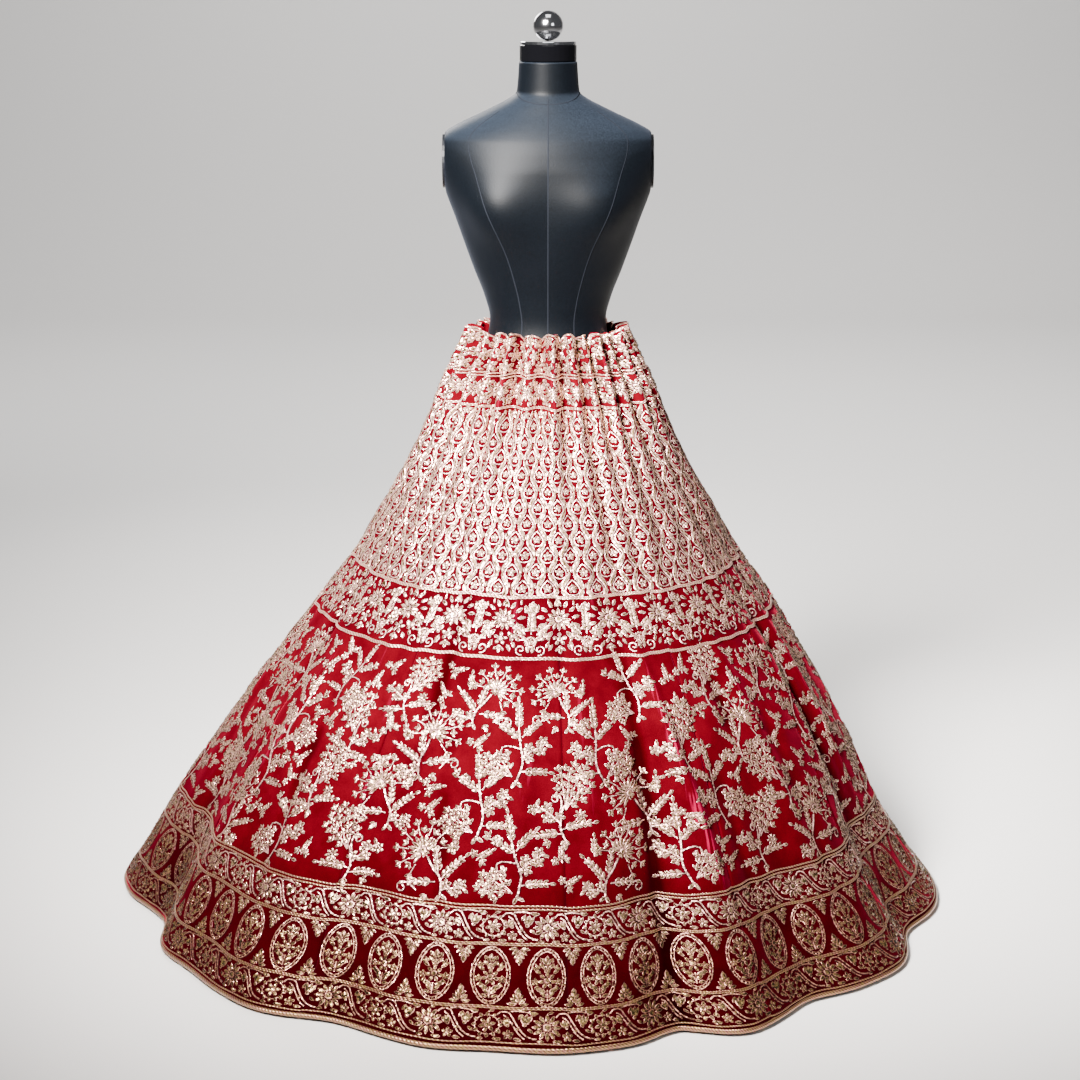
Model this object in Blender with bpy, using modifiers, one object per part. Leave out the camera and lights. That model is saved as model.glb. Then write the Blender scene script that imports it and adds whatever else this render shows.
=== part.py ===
# Lehenga skirt worn on a limbless dress form.
# Metres, +Z up, the front faces -Y and the wearer's left hand is towards +X.
# A direction round the skirt is an angle from the front, growing towards +X.

import bpy
import math
from mathutils import Vector

# Whole object
OBJECT_NAME = "lehenga_skirt_on_dress_form"
SEAM_GAP = 0.0003          # clear space between neighbouring solids
WALL = 0.002               # velvet with its cotton backing

# Skirt
KALI_COUNT = 12            # gored panels round the skirt
GATHER_COUNT = 30          # gathers drawn up round the waist
COLUMNS_PER_GATHER = 4
COLUMN_COUNT = GATHER_COUNT * COLUMNS_PER_GATHER
COLUMNS_PER_KALI = COLUMN_COUNT // KALI_COUNT
HEM_HEIGHT = 0.0125        # lower edge of the panels, above the piping

# Uneven spacing of the gathers: swing in turns, waves round the skirt, start in radians
SPACING_WAVES = (
    (0.0080, 3, 1.0),
    (0.0032, 7, 0.4),
)
# Uneven depth of the gathers: share of the depth, waves round the skirt, start in radians
DEPTH_WAVES = (
    (0.14, 11, 0.7),
    (0.10, 17, 2.1),
)
DEPTH_MEAN = 0.90

# Sections of the skirt at its crests. Columns: height, half width right, half width left,
# half depth front, half depth back, depth of the gathers
SECTIONS = (
    (1.0240, 0.143, 0.143, 0.122, 0.122, 0.020),
    (0.9930, 0.160, 0.160, 0.136, 0.136, 0.024),
    (0.9620, 0.178, 0.178, 0.150, 0.150, 0.030),
    (0.9300, 0.192, 0.192, 0.167, 0.167, 0.027),
    (0.8900, 0.206, 0.206, 0.186, 0.186, 0.021),
    (0.8400, 0.226, 0.226, 0.210, 0.210, 0.015),
    (0.7800, 0.255, 0.256, 0.243, 0.243, 0.010),
    (0.7100, 0.293, 0.296, 0.287, 0.285, 0.006),
    (0.6300, 0.337, 0.343, 0.337, 0.333, 0.003),
    (0.5300, 0.405, 0.418, 0.402, 0.396, 0.0),
    (0.4200, 0.474, 0.503, 0.478, 0.470, 0.0),
    (0.3000, 0.537, 0.586, 0.548, 0.538, 0.0),
    (0.1800, 0.591, 0.664, 0.618, 0.604, 0.0),
    (0.0800, 0.650, 0.722, 0.690, 0.672, 0.0),
    (0.0125, 0.702, 0.762, 0.750, 0.730, 0.0),
)
# Heights at which the walls are drawn
KALI_ROWS = (0.962, 0.930, 0.890, 0.840, 0.780, 0.700, 0.610, 0.500, 0.380, 0.250, 0.120, 0.0125)
CASING_ROWS = (1.024, 0.993, 0.962)

# Long soft folds that open towards the hem. Columns: direction in degrees, height out of
# the wall at the hem, half width in degrees, height where the fold dies out
FOLDS = (
    (0.0, 0.013, 8.0, 0.60),
    (17.5, -0.034, 4.8, 0.68),
    (27.0, 0.016, 5.0, 0.62),
    (39.0, -0.022, 6.0, 0.50),
    (54.0, 0.016, 7.0, 0.54),
    (67.0, -0.024, 5.0, 0.66),
    (83.0, 0.010, 7.0, 0.50),
    (101.0, -0.024, 6.5, 0.62),
    (116.0, 0.016, 8.0, 0.52),
    (133.0, -0.020, 6.0, 0.56),
    (147.0, 0.012, 7.0, 0.44),
    (163.0, -0.028, 6.5, 0.66),
    (180.0, 0.015, 8.0, 0.52),
    (196.0, -0.018, 6.0, 0.56),
    (211.0, 0.012, 7.0, 0.46),
    (228.0, -0.026, 6.5, 0.62),
    (244.0, 0.015, 7.5, 0.50),
    (258.0, -0.016, 6.0, 0.58),
    (271.0, 0.018, 7.5, 0.52),
    (289.0, -0.046, 7.5, 0.60),
    (307.0, -0.010, 6.0, 0.46),
    (320.0, 0.012, 6.5, 0.54),
    (333.0, -0.020, 5.5, 0.60),
    (346.0, 0.010, 5.5, 0.50),
)
FOLD_GROWTH = 1.25         # how fast a fold opens towards the hem
NORMAL_RISE = 0.004        # height either side of a place over which its slope is taken

# Piping bound round the hem
PIPING_RADIUS = 0.0040
PIPING_SIDES = 6
PIPING_COUNT = 4

# Dress form. Columns: height, half width, half depth
TORSO_SECTIONS = (
    (0.7900, 0.150, 0.108),
    (0.8000, 0.163, 0.119),
    (0.8400, 0.170, 0.127),
    (0.8900, 0.169, 0.127),
    (0.9300, 0.160, 0.124),
    (0.9620, 0.1455, 0.1175),
    (0.9900, 0.123, 0.102),
    (1.0200, 0.105, 0.089),
    (1.0450, 0.102, 0.086),
    (1.0800, 0.110, 0.090),
    (1.1300, 0.129, 0.101),
    (1.1800, 0.147, 0.110),
    (1.2200, 0.161, 0.115),
    (1.2600, 0.176, 0.117),
    (1.3000, 0.189, 0.115),
    (1.3300, 0.195, 0.109),
    (1.3540, 0.191, 0.101),
    (1.3680, 0.178, 0.094),
    (1.3830, 0.152, 0.085),
    (1.3980, 0.120, 0.075),
    (1.4120, 0.091, 0.066),
    (1.4240, 0.068, 0.058),
    (1.4350, 0.0545, 0.0525),
    (1.4500, 0.0525, 0.0515),
    (1.4860, 0.0500, 0.0500),
)
TORSO_STEPS = 40
BUST_RISE = 0.024          # how far each side of the bust stands out
BUST_HEIGHT = 1.238
BUST_HALF_HEIGHT = 0.060
BUST_DIRECTION = 31.0      # degrees either side of the front
BUST_HALF_WIDTH = 21.0     # degrees
ARM_PLANE = 0.1780         # flat faces of the armholes, either side
ARM_PLATE_HEIGHT = 1.317
ARM_PLATE_HALF_HEIGHT = 0.046
ARM_PLATE_HALF_DEPTH = 0.038
ARM_PLATE_THICK = 0.004
ARM_PLATE_STEPS = 28
ARM_CUT_SIZE = 0.30

CAP_BASE = 1.4863
CAP_RADIUS = 0.0492
CAP_HEIGHT = 0.0290
CAP_EDGE = 0.0020
PLATE_RADIUS = 0.0480
PLATE_THICK = 0.0048
PLATE_EDGE = 0.0012
BALL_RADIUS = 0.0258
BALL_SEAT = 0.0254         # centre of the ball above the plate
STEM_RADIUS = 0.0100
BALL_RINGS = 12
ROUND_STEPS = 32

POLE_RADIUS = 0.0160
FOOT_RADIUS = 0.170
FOOT_RIM = 0.0100
FOOT_DOME = 0.0240
FOOT_COLLAR_RADIUS = 0.030
FOOT_COLLAR_TOP = 0.050

# Colours of the plain solids
VELVET = (0.33, 0.008, 0.020, 1.0)
GOLD_BRAID = (0.62, 0.46, 0.22, 1.0)
BLACK_CLOTH = (0.012, 0.013, 0.017, 1.0)
BLACK_GLOSS = (0.008, 0.008, 0.010, 1.0)
STEEL = (0.62, 0.62, 0.64, 1.0)
BLACK_PAINT = (0.02, 0.02, 0.02, 1.0)


def clear_scene():
    for old in list(bpy.data.objects):
        bpy.data.objects.remove(old, do_unlink=True)
    for old in list(bpy.data.meshes):
        bpy.data.meshes.remove(old)
    for old in list(bpy.data.collections):
        bpy.data.collections.remove(old)


def make_collection(name):
    made = bpy.data.collections.new(name)
    bpy.context.scene.collection.children.link(made)
    return made


def make_material(name, colour, roughness, metallic):
    made = bpy.data.materials.new(name)
    made.use_nodes = True
    shader = made.node_tree.nodes["Principled BSDF"]
    shader.inputs["Base Color"].default_value = colour
    shader.inputs["Roughness"].default_value = roughness
    shader.inputs["Metallic"].default_value = metallic
    return made


def make_object(name, points, faces, collection, material):
    mesh = bpy.data.meshes.new(name)
    mesh.from_pydata([tuple(p) for p in points], [], faces)
    made = bpy.data.objects.new(name, mesh)
    collection.objects.link(made)
    made.data.materials.append(material)
    for face in made.data.polygons:
        face.use_smooth = True
    return made


def section_at(height):
    """The section's sizes at a height, by straight lines between the table's rows."""
    if height >= SECTIONS[0][0]:
        return SECTIONS[0][1:]
    for upper, lower in zip(SECTIONS, SECTIONS[1:]):
        if height >= lower[0]:
            share = (upper[0] - height) / (upper[0] - lower[0])
            return tuple(a + (b - a) * share for a, b in zip(upper[1:], lower[1:]))
    return SECTIONS[-1][1:]


def direction_of(turn):
    """The direction, in radians from the front, of a place counted in gathered turns."""
    spaced = turn
    for swing, waves, start in SPACING_WAVES:
        spaced += swing * math.sin(2.0 * math.pi * waves * turn + start)
    return 2.0 * math.pi * spaced


def gather_crest(turn):
    """How far a place is out of its gather's trough, as a share of the depth."""
    share = DEPTH_MEAN
    for swing, waves, start in DEPTH_WAVES:
        share += swing * math.sin(2.0 * math.pi * waves * turn + start)
    return share * (0.5 + 0.5 * math.cos(2.0 * math.pi * GATHER_COUNT * turn))


def fold_height(direction, height):
    """How far the long folds push the wall out at a place."""
    out = 0.0
    degrees = math.degrees(direction)
    for centre, rise, half_width, top in FOLDS:
        if height >= top:
            continue
        away = (degrees - centre + 180.0) % 360.0 - 180.0
        grown = ((top - height) / (top - HEM_HEIGHT)) ** FOLD_GROWTH
        out += rise * grown * math.exp(-((away / half_width) ** 2))
    return out


def outward(direction, right, front):
    """The level unit normal of an oval section."""
    normal = Vector((math.sin(direction) / right, -math.cos(direction) / front, 0.0))
    return normal.normalized()


def skirt_point(turn, height):
    """A point on the outer face of the skirt."""
    right, left, front, back, depth = section_at(height)
    direction = direction_of(turn)
    across = right if math.sin(direction) > 0.0 else left
    along = front if math.cos(direction) > 0.0 else back
    point = Vector((across * math.sin(direction), -along * math.cos(direction), height))
    out = depth * (gather_crest(turn) - 1.0) + fold_height(direction, height)
    return point + outward(direction, across, along) * out


def wall_normal(turn, height):
    """The outward unit normal of the skirt."""
    step = 0.5 / COLUMN_COUNT
    side = skirt_point(turn + step, height) - skirt_point(turn - step, height)
    down = skirt_point(turn, height - NORMAL_RISE) - skirt_point(turn, height + NORMAL_RISE)
    return down.cross(side).normalized()


def level_tangent(turn, height):
    """The level unit vector along the section, growing with the turn."""
    right, left, front, back, depth = section_at(height)
    direction = direction_of(turn)
    across = right if math.sin(direction) > 0.0 else left
    along = front if math.cos(direction) > 0.0 else back
    level = outward(direction, across, along)
    return Vector((-level.y, level.x, 0.0))


def make_wall(name, first, last, heights, trims, collection, material):
    """A wall between two columns, with level upper and lower edges trimmed by the given gaps."""
    upper_trim, lower_trim = trims
    outer = []
    inner = []
    for column in range(first, last + 1):
        turn = column / COLUMN_COUNT
        shift = 0.0
        if column == first:
            shift = 0.5 * SEAM_GAP
        if column == last:
            shift = -0.5 * SEAM_GAP
        for row, height in enumerate(heights):
            edge = row in (0, len(heights) - 1)
            if row == 0:
                height = height - upper_trim
            if row == len(heights) - 1:
                height = height + lower_trim
            point = skirt_point(turn, height) + level_tangent(turn, height) * shift
            normal = wall_normal(turn, height)
            if edge:
                normal.z = 0.0
                normal.normalize()
            outer.append(point)
            inner.append(point - normal * WALL)
    rows = len(heights)
    columns = last - first + 1
    count = rows * columns
    faces = []
    for c in range(columns - 1):
        for r in range(rows - 1):
            a = c * rows + r
            b = (c + 1) * rows + r
            faces.append((a, a + 1, b + 1, b))
            faces.append((count + a, count + b, count + b + 1, count + a + 1))
        top_a = c * rows
        top_b = (c + 1) * rows
        low_a = top_a + rows - 1
        low_b = top_b + rows - 1
        faces.append((top_a, top_b, count + top_b, count + top_a))
        faces.append((low_a, count + low_a, count + low_b, low_b))
    for r in range(rows - 1):
        a = r
        b = (columns - 1) * rows + r
        faces.append((a, count + a, count + a + 1, a + 1))
        faces.append((b, b + 1, count + b + 1, count + b))
    return make_object(name, outer + inner, faces, collection, material)


def make_piping(name, first, last, collection, material):
    """A round cord bound along the hem between two columns."""
    up = Vector((0.0, 0.0, 1.0))
    rings = []
    for column in range(first, last + 1):
        turn = column / COLUMN_COUNT
        shift = 0.0
        if column == first:
            shift = 0.5 * SEAM_GAP
        if column == last:
            shift = -0.5 * SEAM_GAP
        normal = wall_normal(turn, HEM_HEIGHT)
        normal.z = 0.0
        normal.normalize()
        middle = skirt_point(turn, HEM_HEIGHT) - normal * (0.5 * WALL)
        middle = middle + level_tangent(turn, HEM_HEIGHT) * shift
        middle.z -= SEAM_GAP + PIPING_RADIUS
        ring = []
        for side in range(PIPING_SIDES):
            angle = 2.0 * math.pi * (side + 0.5) / PIPING_SIDES
            ring.append(middle + (normal * math.sin(angle) - up * math.cos(angle)) * PIPING_RADIUS)
        rings.append(ring)
    points = [point for ring in rings for point in ring]
    faces = []
    for r in range(len(rings) - 1):
        for s in range(PIPING_SIDES):
            t = (s + 1) % PIPING_SIDES
            a = r * PIPING_SIDES
            b = (r + 1) * PIPING_SIDES
            faces.append((a + s, b + s, b + t, a + t))
    faces.append(tuple(range(PIPING_SIDES)))
    end = (len(rings) - 1) * PIPING_SIDES
    faces.append(tuple(end + s for s in reversed(range(PIPING_SIDES))))
    return make_object(name, points, faces, collection, material)


def bust_height(angle, height):
    """How far the bust stands out of the torso's oval at a place."""
    degrees = abs((math.degrees(angle) + 180.0) % 360.0 - 180.0)
    across = math.exp(-(((degrees - BUST_DIRECTION) / BUST_HALF_WIDTH) ** 2))
    return BUST_RISE * across * math.exp(-(((height - BUST_HEIGHT) / BUST_HALF_HEIGHT) ** 2))


def make_torso(name, sections, steps, collection, material):
    """A closed body through level oval sections, with a bust in front."""
    points = []
    for height, half_width, half_depth in sections:
        for step in range(steps):
            angle = 2.0 * math.pi * step / steps
            out = outward(angle, half_width, half_depth) * bust_height(angle, height)
            across = half_width * math.sin(angle)
            along = -half_depth * math.cos(angle)
            points.append((across + out.x, along + out.y, height))
    faces = []
    for r in range(len(sections) - 1):
        for s in range(steps):
            t = (s + 1) % steps
            faces.append((r * steps + s, r * steps + t, (r + 1) * steps + t, (r + 1) * steps + s))
    faces.append(tuple(reversed(range(steps))))
    end = (len(sections) - 1) * steps
    faces.append(tuple(end + s for s in range(steps)))
    return make_object(name, points, faces, collection, material)


def make_turned(name, profile, steps, collection, material):
    """A round solid turned from a profile of (radius, height) that starts and ends on the axis."""
    mesh = bpy.data.meshes.new(name)
    points = [(radius, 0.0, height) for radius, height in profile]
    edges = [(i, i + 1) for i in range(len(points) - 1)]
    mesh.from_pydata(points, edges, [])
    made = bpy.data.objects.new(name, mesh)
    collection.objects.link(made)
    made.data.materials.append(material)
    turned = made.modifiers.new("turned", "SCREW")
    turned.axis = "Z"
    turned.angle = 2.0 * math.pi
    turned.steps = steps
    turned.render_steps = steps
    turned.use_merge_vertices = True
    turned.merge_threshold = 0.00001
    turned.use_smooth_shade = True
    turned.use_normal_flip = True
    return made


def make_arm_plate(name, side, collection, material):
    """The oval plate that closes an armhole."""
    bpy.ops.mesh.primitive_cylinder_add(
        vertices=ARM_PLATE_STEPS,
        radius=1.0,
        depth=1.0,
        location=(0.0, 0.0, 0.0),
    )
    made = bpy.context.active_object
    made.name = name
    made.data.name = name
    for point in made.data.vertices:
        along = point.co.x * ARM_PLATE_HALF_HEIGHT
        across = -point.co.y * ARM_PLATE_HALF_DEPTH
        out = (point.co.z + 0.5) * ARM_PLATE_THICK
        reach = side * (ARM_PLANE + SEAM_GAP + out)
        point.co = Vector((reach, across * side, ARM_PLATE_HEIGHT + along))
    for other in list(made.users_collection):
        other.objects.unlink(made)
    collection.objects.link(made)
    made.data.materials.append(material)
    return made


def cut_armholes(torso, cutters):
    """Planes the torso's sides flat where the arms would start."""
    for side, name in ((1.0, "left"), (-1.0, "right")):
        middle = side * (ARM_PLANE + 0.5 * ARM_CUT_SIZE)
        bpy.ops.mesh.primitive_cube_add(size=ARM_CUT_SIZE, location=(middle, 0.0, ARM_PLATE_HEIGHT))
        cutter = bpy.context.active_object
        cutter.name = "cutter_armhole_" + name
        for other in list(cutter.users_collection):
            other.objects.unlink(cutter)
        cutters.objects.link(cutter)
        cutter.hide_render = True
        cutter.display_type = "WIRE"
        cut = torso.modifiers.new("armhole_" + name, "BOOLEAN")
        cut.operation = "DIFFERENCE"
        cut.solver = "EXACT"
        cut.object = cutter


def ball_profile(base):
    """A short stem under a round ball, from the axis out, up and back to the axis."""
    centre = base + BALL_SEAT
    profile = [(0.0, base), (STEM_RADIUS, base)]
    start = math.asin(STEM_RADIUS / BALL_RADIUS)
    lowest = centre - BALL_RADIUS * math.cos(start)
    if lowest > base + SEAM_GAP:
        profile.append((STEM_RADIUS, lowest))
    for ring in range(1, BALL_RINGS + 1):
        angle = start + (math.pi - start) * ring / BALL_RINGS
        radius = BALL_RADIUS * math.sin(angle)
        if ring == BALL_RINGS:
            radius = 0.0
        profile.append((radius, centre - BALL_RADIUS * math.cos(angle)))
    return profile


clear_scene()
parts = make_collection(OBJECT_NAME)
cutters = make_collection("cutters")
cutters.hide_render = True

half = 0.5 * SEAM_GAP

# Gored panels
for number in range(KALI_COUNT):
    label = "kali_%02d" % (number + 1)
    start = number * COLUMNS_PER_KALI
    make_wall(
        label,
        start,
        start + COLUMNS_PER_KALI,
        KALI_ROWS,
        (half, 0.0),
        parts,
        make_material("velvet_" + label, VELVET, 0.85, 0.0),
    )

# Waist casing with its gathered heading, joined at centre front and centre back
half_round = COLUMN_COUNT // 2
for label, start in (("waist_casing_left", 0), ("waist_casing_right", half_round)):
    make_wall(
        label,
        start,
        start + half_round,
        CASING_ROWS,
        (0.0, half),
        parts,
        make_material("velvet_" + label, VELVET, 0.85, 0.0),
    )

# Hem piping in four strips
strip = COLUMN_COUNT // PIPING_COUNT
for number in range(PIPING_COUNT):
    label = "hem_piping_%d" % (number + 1)
    make_piping(
        label,
        number * strip,
        (number + 1) * strip,
        parts,
        make_material("braid_" + label, GOLD_BRAID, 0.5, 0.3),
    )

# Dress form
torso = make_torso(
    "form_torso",
    TORSO_SECTIONS,
    TORSO_STEPS,
    parts,
    make_material("black_cloth_torso", BLACK_CLOTH, 0.55, 0.0),
)
cut_armholes(torso, cutters)
for side, label in ((1.0, "form_arm_plate_left"), (-1.0, "form_arm_plate_right")):
    make_arm_plate(label, side, parts, make_material("black_" + label, BLACK_GLOSS, 0.35, 0.0))

cap_top = CAP_BASE + CAP_HEIGHT
make_turned(
    "form_neck_cap",
    (
        (0.0, CAP_BASE),
        (CAP_RADIUS - CAP_EDGE, CAP_BASE),
        (CAP_RADIUS, CAP_BASE + CAP_EDGE),
        (CAP_RADIUS, cap_top - CAP_EDGE),
        (CAP_RADIUS - CAP_EDGE, cap_top),
        (0.0, cap_top),
    ),
    ROUND_STEPS,
    parts,
    make_material("black_gloss_cap", BLACK_GLOSS, 0.18, 0.0),
)
plate_base = cap_top + SEAM_GAP
plate_top = plate_base + PLATE_THICK
make_turned(
    "form_cap_plate",
    (
        (0.0, plate_base),
        (PLATE_RADIUS, plate_base),
        (PLATE_RADIUS, plate_top - PLATE_EDGE),
        (PLATE_RADIUS - PLATE_EDGE, plate_top),
        (0.0, plate_top),
    ),
    ROUND_STEPS,
    parts,
    make_material("steel_cap_plate", STEEL, 0.2, 1.0),
)
make_turned(
    "form_ball",
    ball_profile(plate_top + SEAM_GAP),
    ROUND_STEPS,
    parts,
    make_material("steel_ball", STEEL, 0.12, 1.0),
)

# Stand
make_turned(
    "stand_foot",
    (
        (0.0, 0.0),
        (FOOT_RADIUS, 0.0),
        (FOOT_RADIUS, FOOT_RIM),
        (FOOT_COLLAR_RADIUS, FOOT_DOME),
        (FOOT_COLLAR_RADIUS, FOOT_COLLAR_TOP),
        (0.0, FOOT_COLLAR_TOP),
    ),
    ROUND_STEPS,
    parts,
    make_material("black_paint_foot", BLACK_PAINT, 0.4, 0.0),
)
pole_low = FOOT_COLLAR_TOP + SEAM_GAP
pole_high = TORSO_SECTIONS[0][0] - SEAM_GAP
make_turned(
    "stand_pole",
    (
        (0.0, pole_low),
        (POLE_RADIUS, pole_low),
        (POLE_RADIUS, pole_high),
        (0.0, pole_high),
    ),
    ROUND_STEPS,
    parts,
    make_material("steel_pole", STEEL, 0.3, 1.0),
)
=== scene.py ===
"""Looks for a lehenga skirt on a limbless dress form: velvet, gathers, gold embroidery, form, stage."""

import math

import bpy
import numpy as np
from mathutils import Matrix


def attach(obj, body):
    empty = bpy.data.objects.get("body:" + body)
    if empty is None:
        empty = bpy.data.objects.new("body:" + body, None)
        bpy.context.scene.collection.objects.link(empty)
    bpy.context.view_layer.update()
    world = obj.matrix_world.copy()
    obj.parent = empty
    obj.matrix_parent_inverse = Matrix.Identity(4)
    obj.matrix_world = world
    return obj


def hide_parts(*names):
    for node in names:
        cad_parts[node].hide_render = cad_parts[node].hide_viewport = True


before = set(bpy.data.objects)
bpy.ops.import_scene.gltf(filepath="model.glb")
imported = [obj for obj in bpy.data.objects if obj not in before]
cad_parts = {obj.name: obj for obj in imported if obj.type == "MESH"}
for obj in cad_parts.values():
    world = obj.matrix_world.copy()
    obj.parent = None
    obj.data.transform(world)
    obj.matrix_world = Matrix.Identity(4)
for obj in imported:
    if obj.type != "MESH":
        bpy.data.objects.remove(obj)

bl_info = {
    "name": "Lehenga skirt on a dress form",
    "version": (1, 0, 0),
    "blender": (4, 5, 0),
    "location": "3D View > Sidebar > Lehenga",
    "description": "Dresses the packed frame in embroidered velvet and lights it",
    "category": "Object",
}

BODY = "root"

# The skirt's form, as its solids have it.
KALI_COUNT = 12
GATHER_COUNT = 30
JOIN_SLOPE = 0.0684
SPACING_WAVES = ((0.0080, 3, 1.0), (0.0032, 7, 0.4))
DEPTH_WAVES = ((0.14, 11, 0.7), (0.10, 17, 2.1))
DEPTH_MEAN = 0.90
HEM_HEIGHT = 0.0125
FOLD_GROWTH = 1.25

# height, half width right, left, half depth front, back, depth of the gathers
SECTIONS = np.array((
    (1.0240, 0.143, 0.143, 0.122, 0.122, 0.020),
    (0.9930, 0.160, 0.160, 0.136, 0.136, 0.024),
    (0.9620, 0.178, 0.178, 0.150, 0.150, 0.030),
    (0.9300, 0.192, 0.192, 0.167, 0.167, 0.027),
    (0.8900, 0.206, 0.206, 0.186, 0.186, 0.021),
    (0.8400, 0.226, 0.226, 0.210, 0.210, 0.015),
    (0.7800, 0.255, 0.256, 0.243, 0.243, 0.010),
    (0.7100, 0.293, 0.296, 0.287, 0.285, 0.006),
    (0.6300, 0.337, 0.343, 0.337, 0.333, 0.003),
    (0.5300, 0.405, 0.418, 0.402, 0.396, 0.0),
    (0.4200, 0.474, 0.503, 0.478, 0.470, 0.0),
    (0.3000, 0.537, 0.586, 0.548, 0.538, 0.0),
    (0.1800, 0.591, 0.664, 0.618, 0.604, 0.0),
    (0.0800, 0.650, 0.722, 0.690, 0.672, 0.0),
    (0.0125, 0.702, 0.762, 0.750, 0.730, 0.0),
))

# direction in degrees from the front, height out at the hem, half width in degrees, top height
FOLDS = (
    (0.0, 0.013, 8.0, 0.60),
    (17.5, -0.034, 4.8, 0.68),
    (27.0, 0.016, 5.0, 0.62),
    (39.0, -0.022, 6.0, 0.50),
    (54.0, 0.016, 7.0, 0.54),
    (67.0, -0.024, 5.0, 0.66),
    (83.0, 0.010, 7.0, 0.50),
    (101.0, -0.024, 6.5, 0.62),
    (116.0, 0.016, 8.0, 0.52),
    (133.0, -0.020, 6.0, 0.56),
    (147.0, 0.012, 7.0, 0.44),
    (163.0, -0.028, 6.5, 0.66),
    (180.0, 0.015, 8.0, 0.52),
    (196.0, -0.018, 6.0, 0.56),
    (211.0, 0.012, 7.0, 0.46),
    (228.0, -0.026, 6.5, 0.62),
    (244.0, 0.015, 7.5, 0.50),
    (258.0, -0.016, 6.0, 0.58),
    (271.0, 0.018, 7.5, 0.52),
    (289.0, -0.046, 7.5, 0.60),
    (307.0, -0.010, 6.0, 0.46),
    (320.0, 0.012, 6.5, 0.54),
    (333.0, -0.020, 5.5, 0.60),
    (346.0, 0.010, 5.5, 0.50),
)

# Soft creases: direction in degrees at the middle, degrees of slant per metre down, upper and
# lower ends along the slope, height out, half width in metres
CREASES = (
    (3.0, 10.0, 0.26, 0.72, -0.0050, 0.012),
    (7.0, 6.0, 0.40, 1.02, 0.0060, 0.015),
    (12.0, 9.0, 0.22, 0.66, 0.0060, 0.011),
    (18.3, 1.0, 0.42, 1.30, -0.0100, 0.012),
    (21.0, 4.0, 0.16, 0.52, -0.0050, 0.010),
    (25.8, 16.0, 0.46, 1.08, 0.0125, 0.011),
    (33.0, 10.0, 0.18, 0.62, 0.0060, 0.012),
    (34.0, 12.0, 0.66, 1.14, -0.0050, 0.015),
    (39.5, 10.0, 0.56, 0.76, -0.0080, 0.017),
    (45.0, 14.0, 0.34, 0.92, 0.0060, 0.015),
    (51.0, 8.0, 0.60, 1.16, -0.0060, 0.017),
    (56.0, 5.0, 0.20, 0.70, 0.0055, 0.012),
    (61.5, 3.0, 0.46, 1.04, 0.0060, 0.014),
    (66.8, 3.0, 0.42, 1.02, -0.0110, 0.010),
    (71.5, 3.0, 0.44, 1.02, 0.0085, 0.011),
    (78.0, 10.0, 0.26, 0.88, -0.0060, 0.015),
    (84.0, -10.0, 0.62, 1.12, 0.0050, 0.018),
    (95.0, 6.0, 0.28, 0.80, 0.0060, 0.014),
    (104.0, 12.0, 0.40, 1.06, -0.0060, 0.015),
    (113.0, -8.0, 0.50, 1.10, 0.0050, 0.017),
    (122.0, 9.0, 0.22, 0.74, -0.0055, 0.013),
    (131.0, -6.0, 0.44, 1.02, 0.0060, 0.015),
    (140.0, 14.0, 0.56, 1.14, -0.0050, 0.018),
    (152.0, 8.0, 0.28, 0.84, 0.0055, 0.014),
    (160.0, -10.0, 0.48, 1.08, -0.0065, 0.015),
    (171.0, 7.0, 0.34, 0.94, 0.0060, 0.015),
    (178.0, 12.0, 0.60, 1.12, -0.0050, 0.017),
    (189.0, -9.0, 0.25, 0.78, 0.0055, 0.013),
    (199.0, 8.0, 0.46, 1.04, -0.0060, 0.016),
    (208.0, 13.0, 0.30, 0.86, 0.0050, 0.014),
    (217.0, -6.0, 0.54, 1.12, 0.0055, 0.017),
    (226.0, 10.0, 0.24, 0.76, -0.0060, 0.013),
    (236.0, -12.0, 0.42, 1.02, 0.0060, 0.015),
    (248.0, 6.0, 0.58, 1.14, -0.0055, 0.018),
    (255.0, 9.0, 0.28, 0.82, 0.0050, 0.014),
    (266.0, -8.0, 0.46, 1.06, -0.0060, 0.016),
    (277.0, 11.0, 0.32, 0.92, 0.0060, 0.015),
    (284.0, -5.0, 0.60, 1.12, 0.0050, 0.017),
    (295.0, 9.0, 0.24, 0.80, -0.0060, 0.014),
    (303.0, -12.0, 0.44, 1.04, 0.0065, 0.016),
    (313.0, 7.0, 0.55, 1.12, -0.0060, 0.016),
    (321.0, -14.0, 0.28, 0.82, 0.0055, 0.013),
    (328.0, 10.0, 0.46, 1.08, 0.0060, 0.015),
    (337.0, -7.0, 0.30, 0.90, -0.0065, 0.014),
    (343.0, 12.0, 0.55, 1.12, -0.0050, 0.016),
    (351.0, 6.0, 0.24, 0.76, 0.0060, 0.012),
    (356.0, -10.0, 0.50, 1.06, 0.0055, 0.015),
)

# Where the gold lines run, down the slope from the heading's top
LINE_CASING = 0.0694
LINE_YOKE = 0.1262
LINE_LATTICE = 0.457
LINE_BAND = 0.563
LINE_BORDER = 0.973
LINE_VINE = 1.031
LINE_MEDALLION = 1.132
HEM_SLOPE = 1.1938

# How far each panel's embroidery is out of step with its neighbours, down the slope
JOGS = (0.0, 0.0014, -0.0010, 0.0018, 0.0004, -0.0016, 0.0010, -0.0004, 0.0016, -0.0012, 0.0006, -0.0008)

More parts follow.
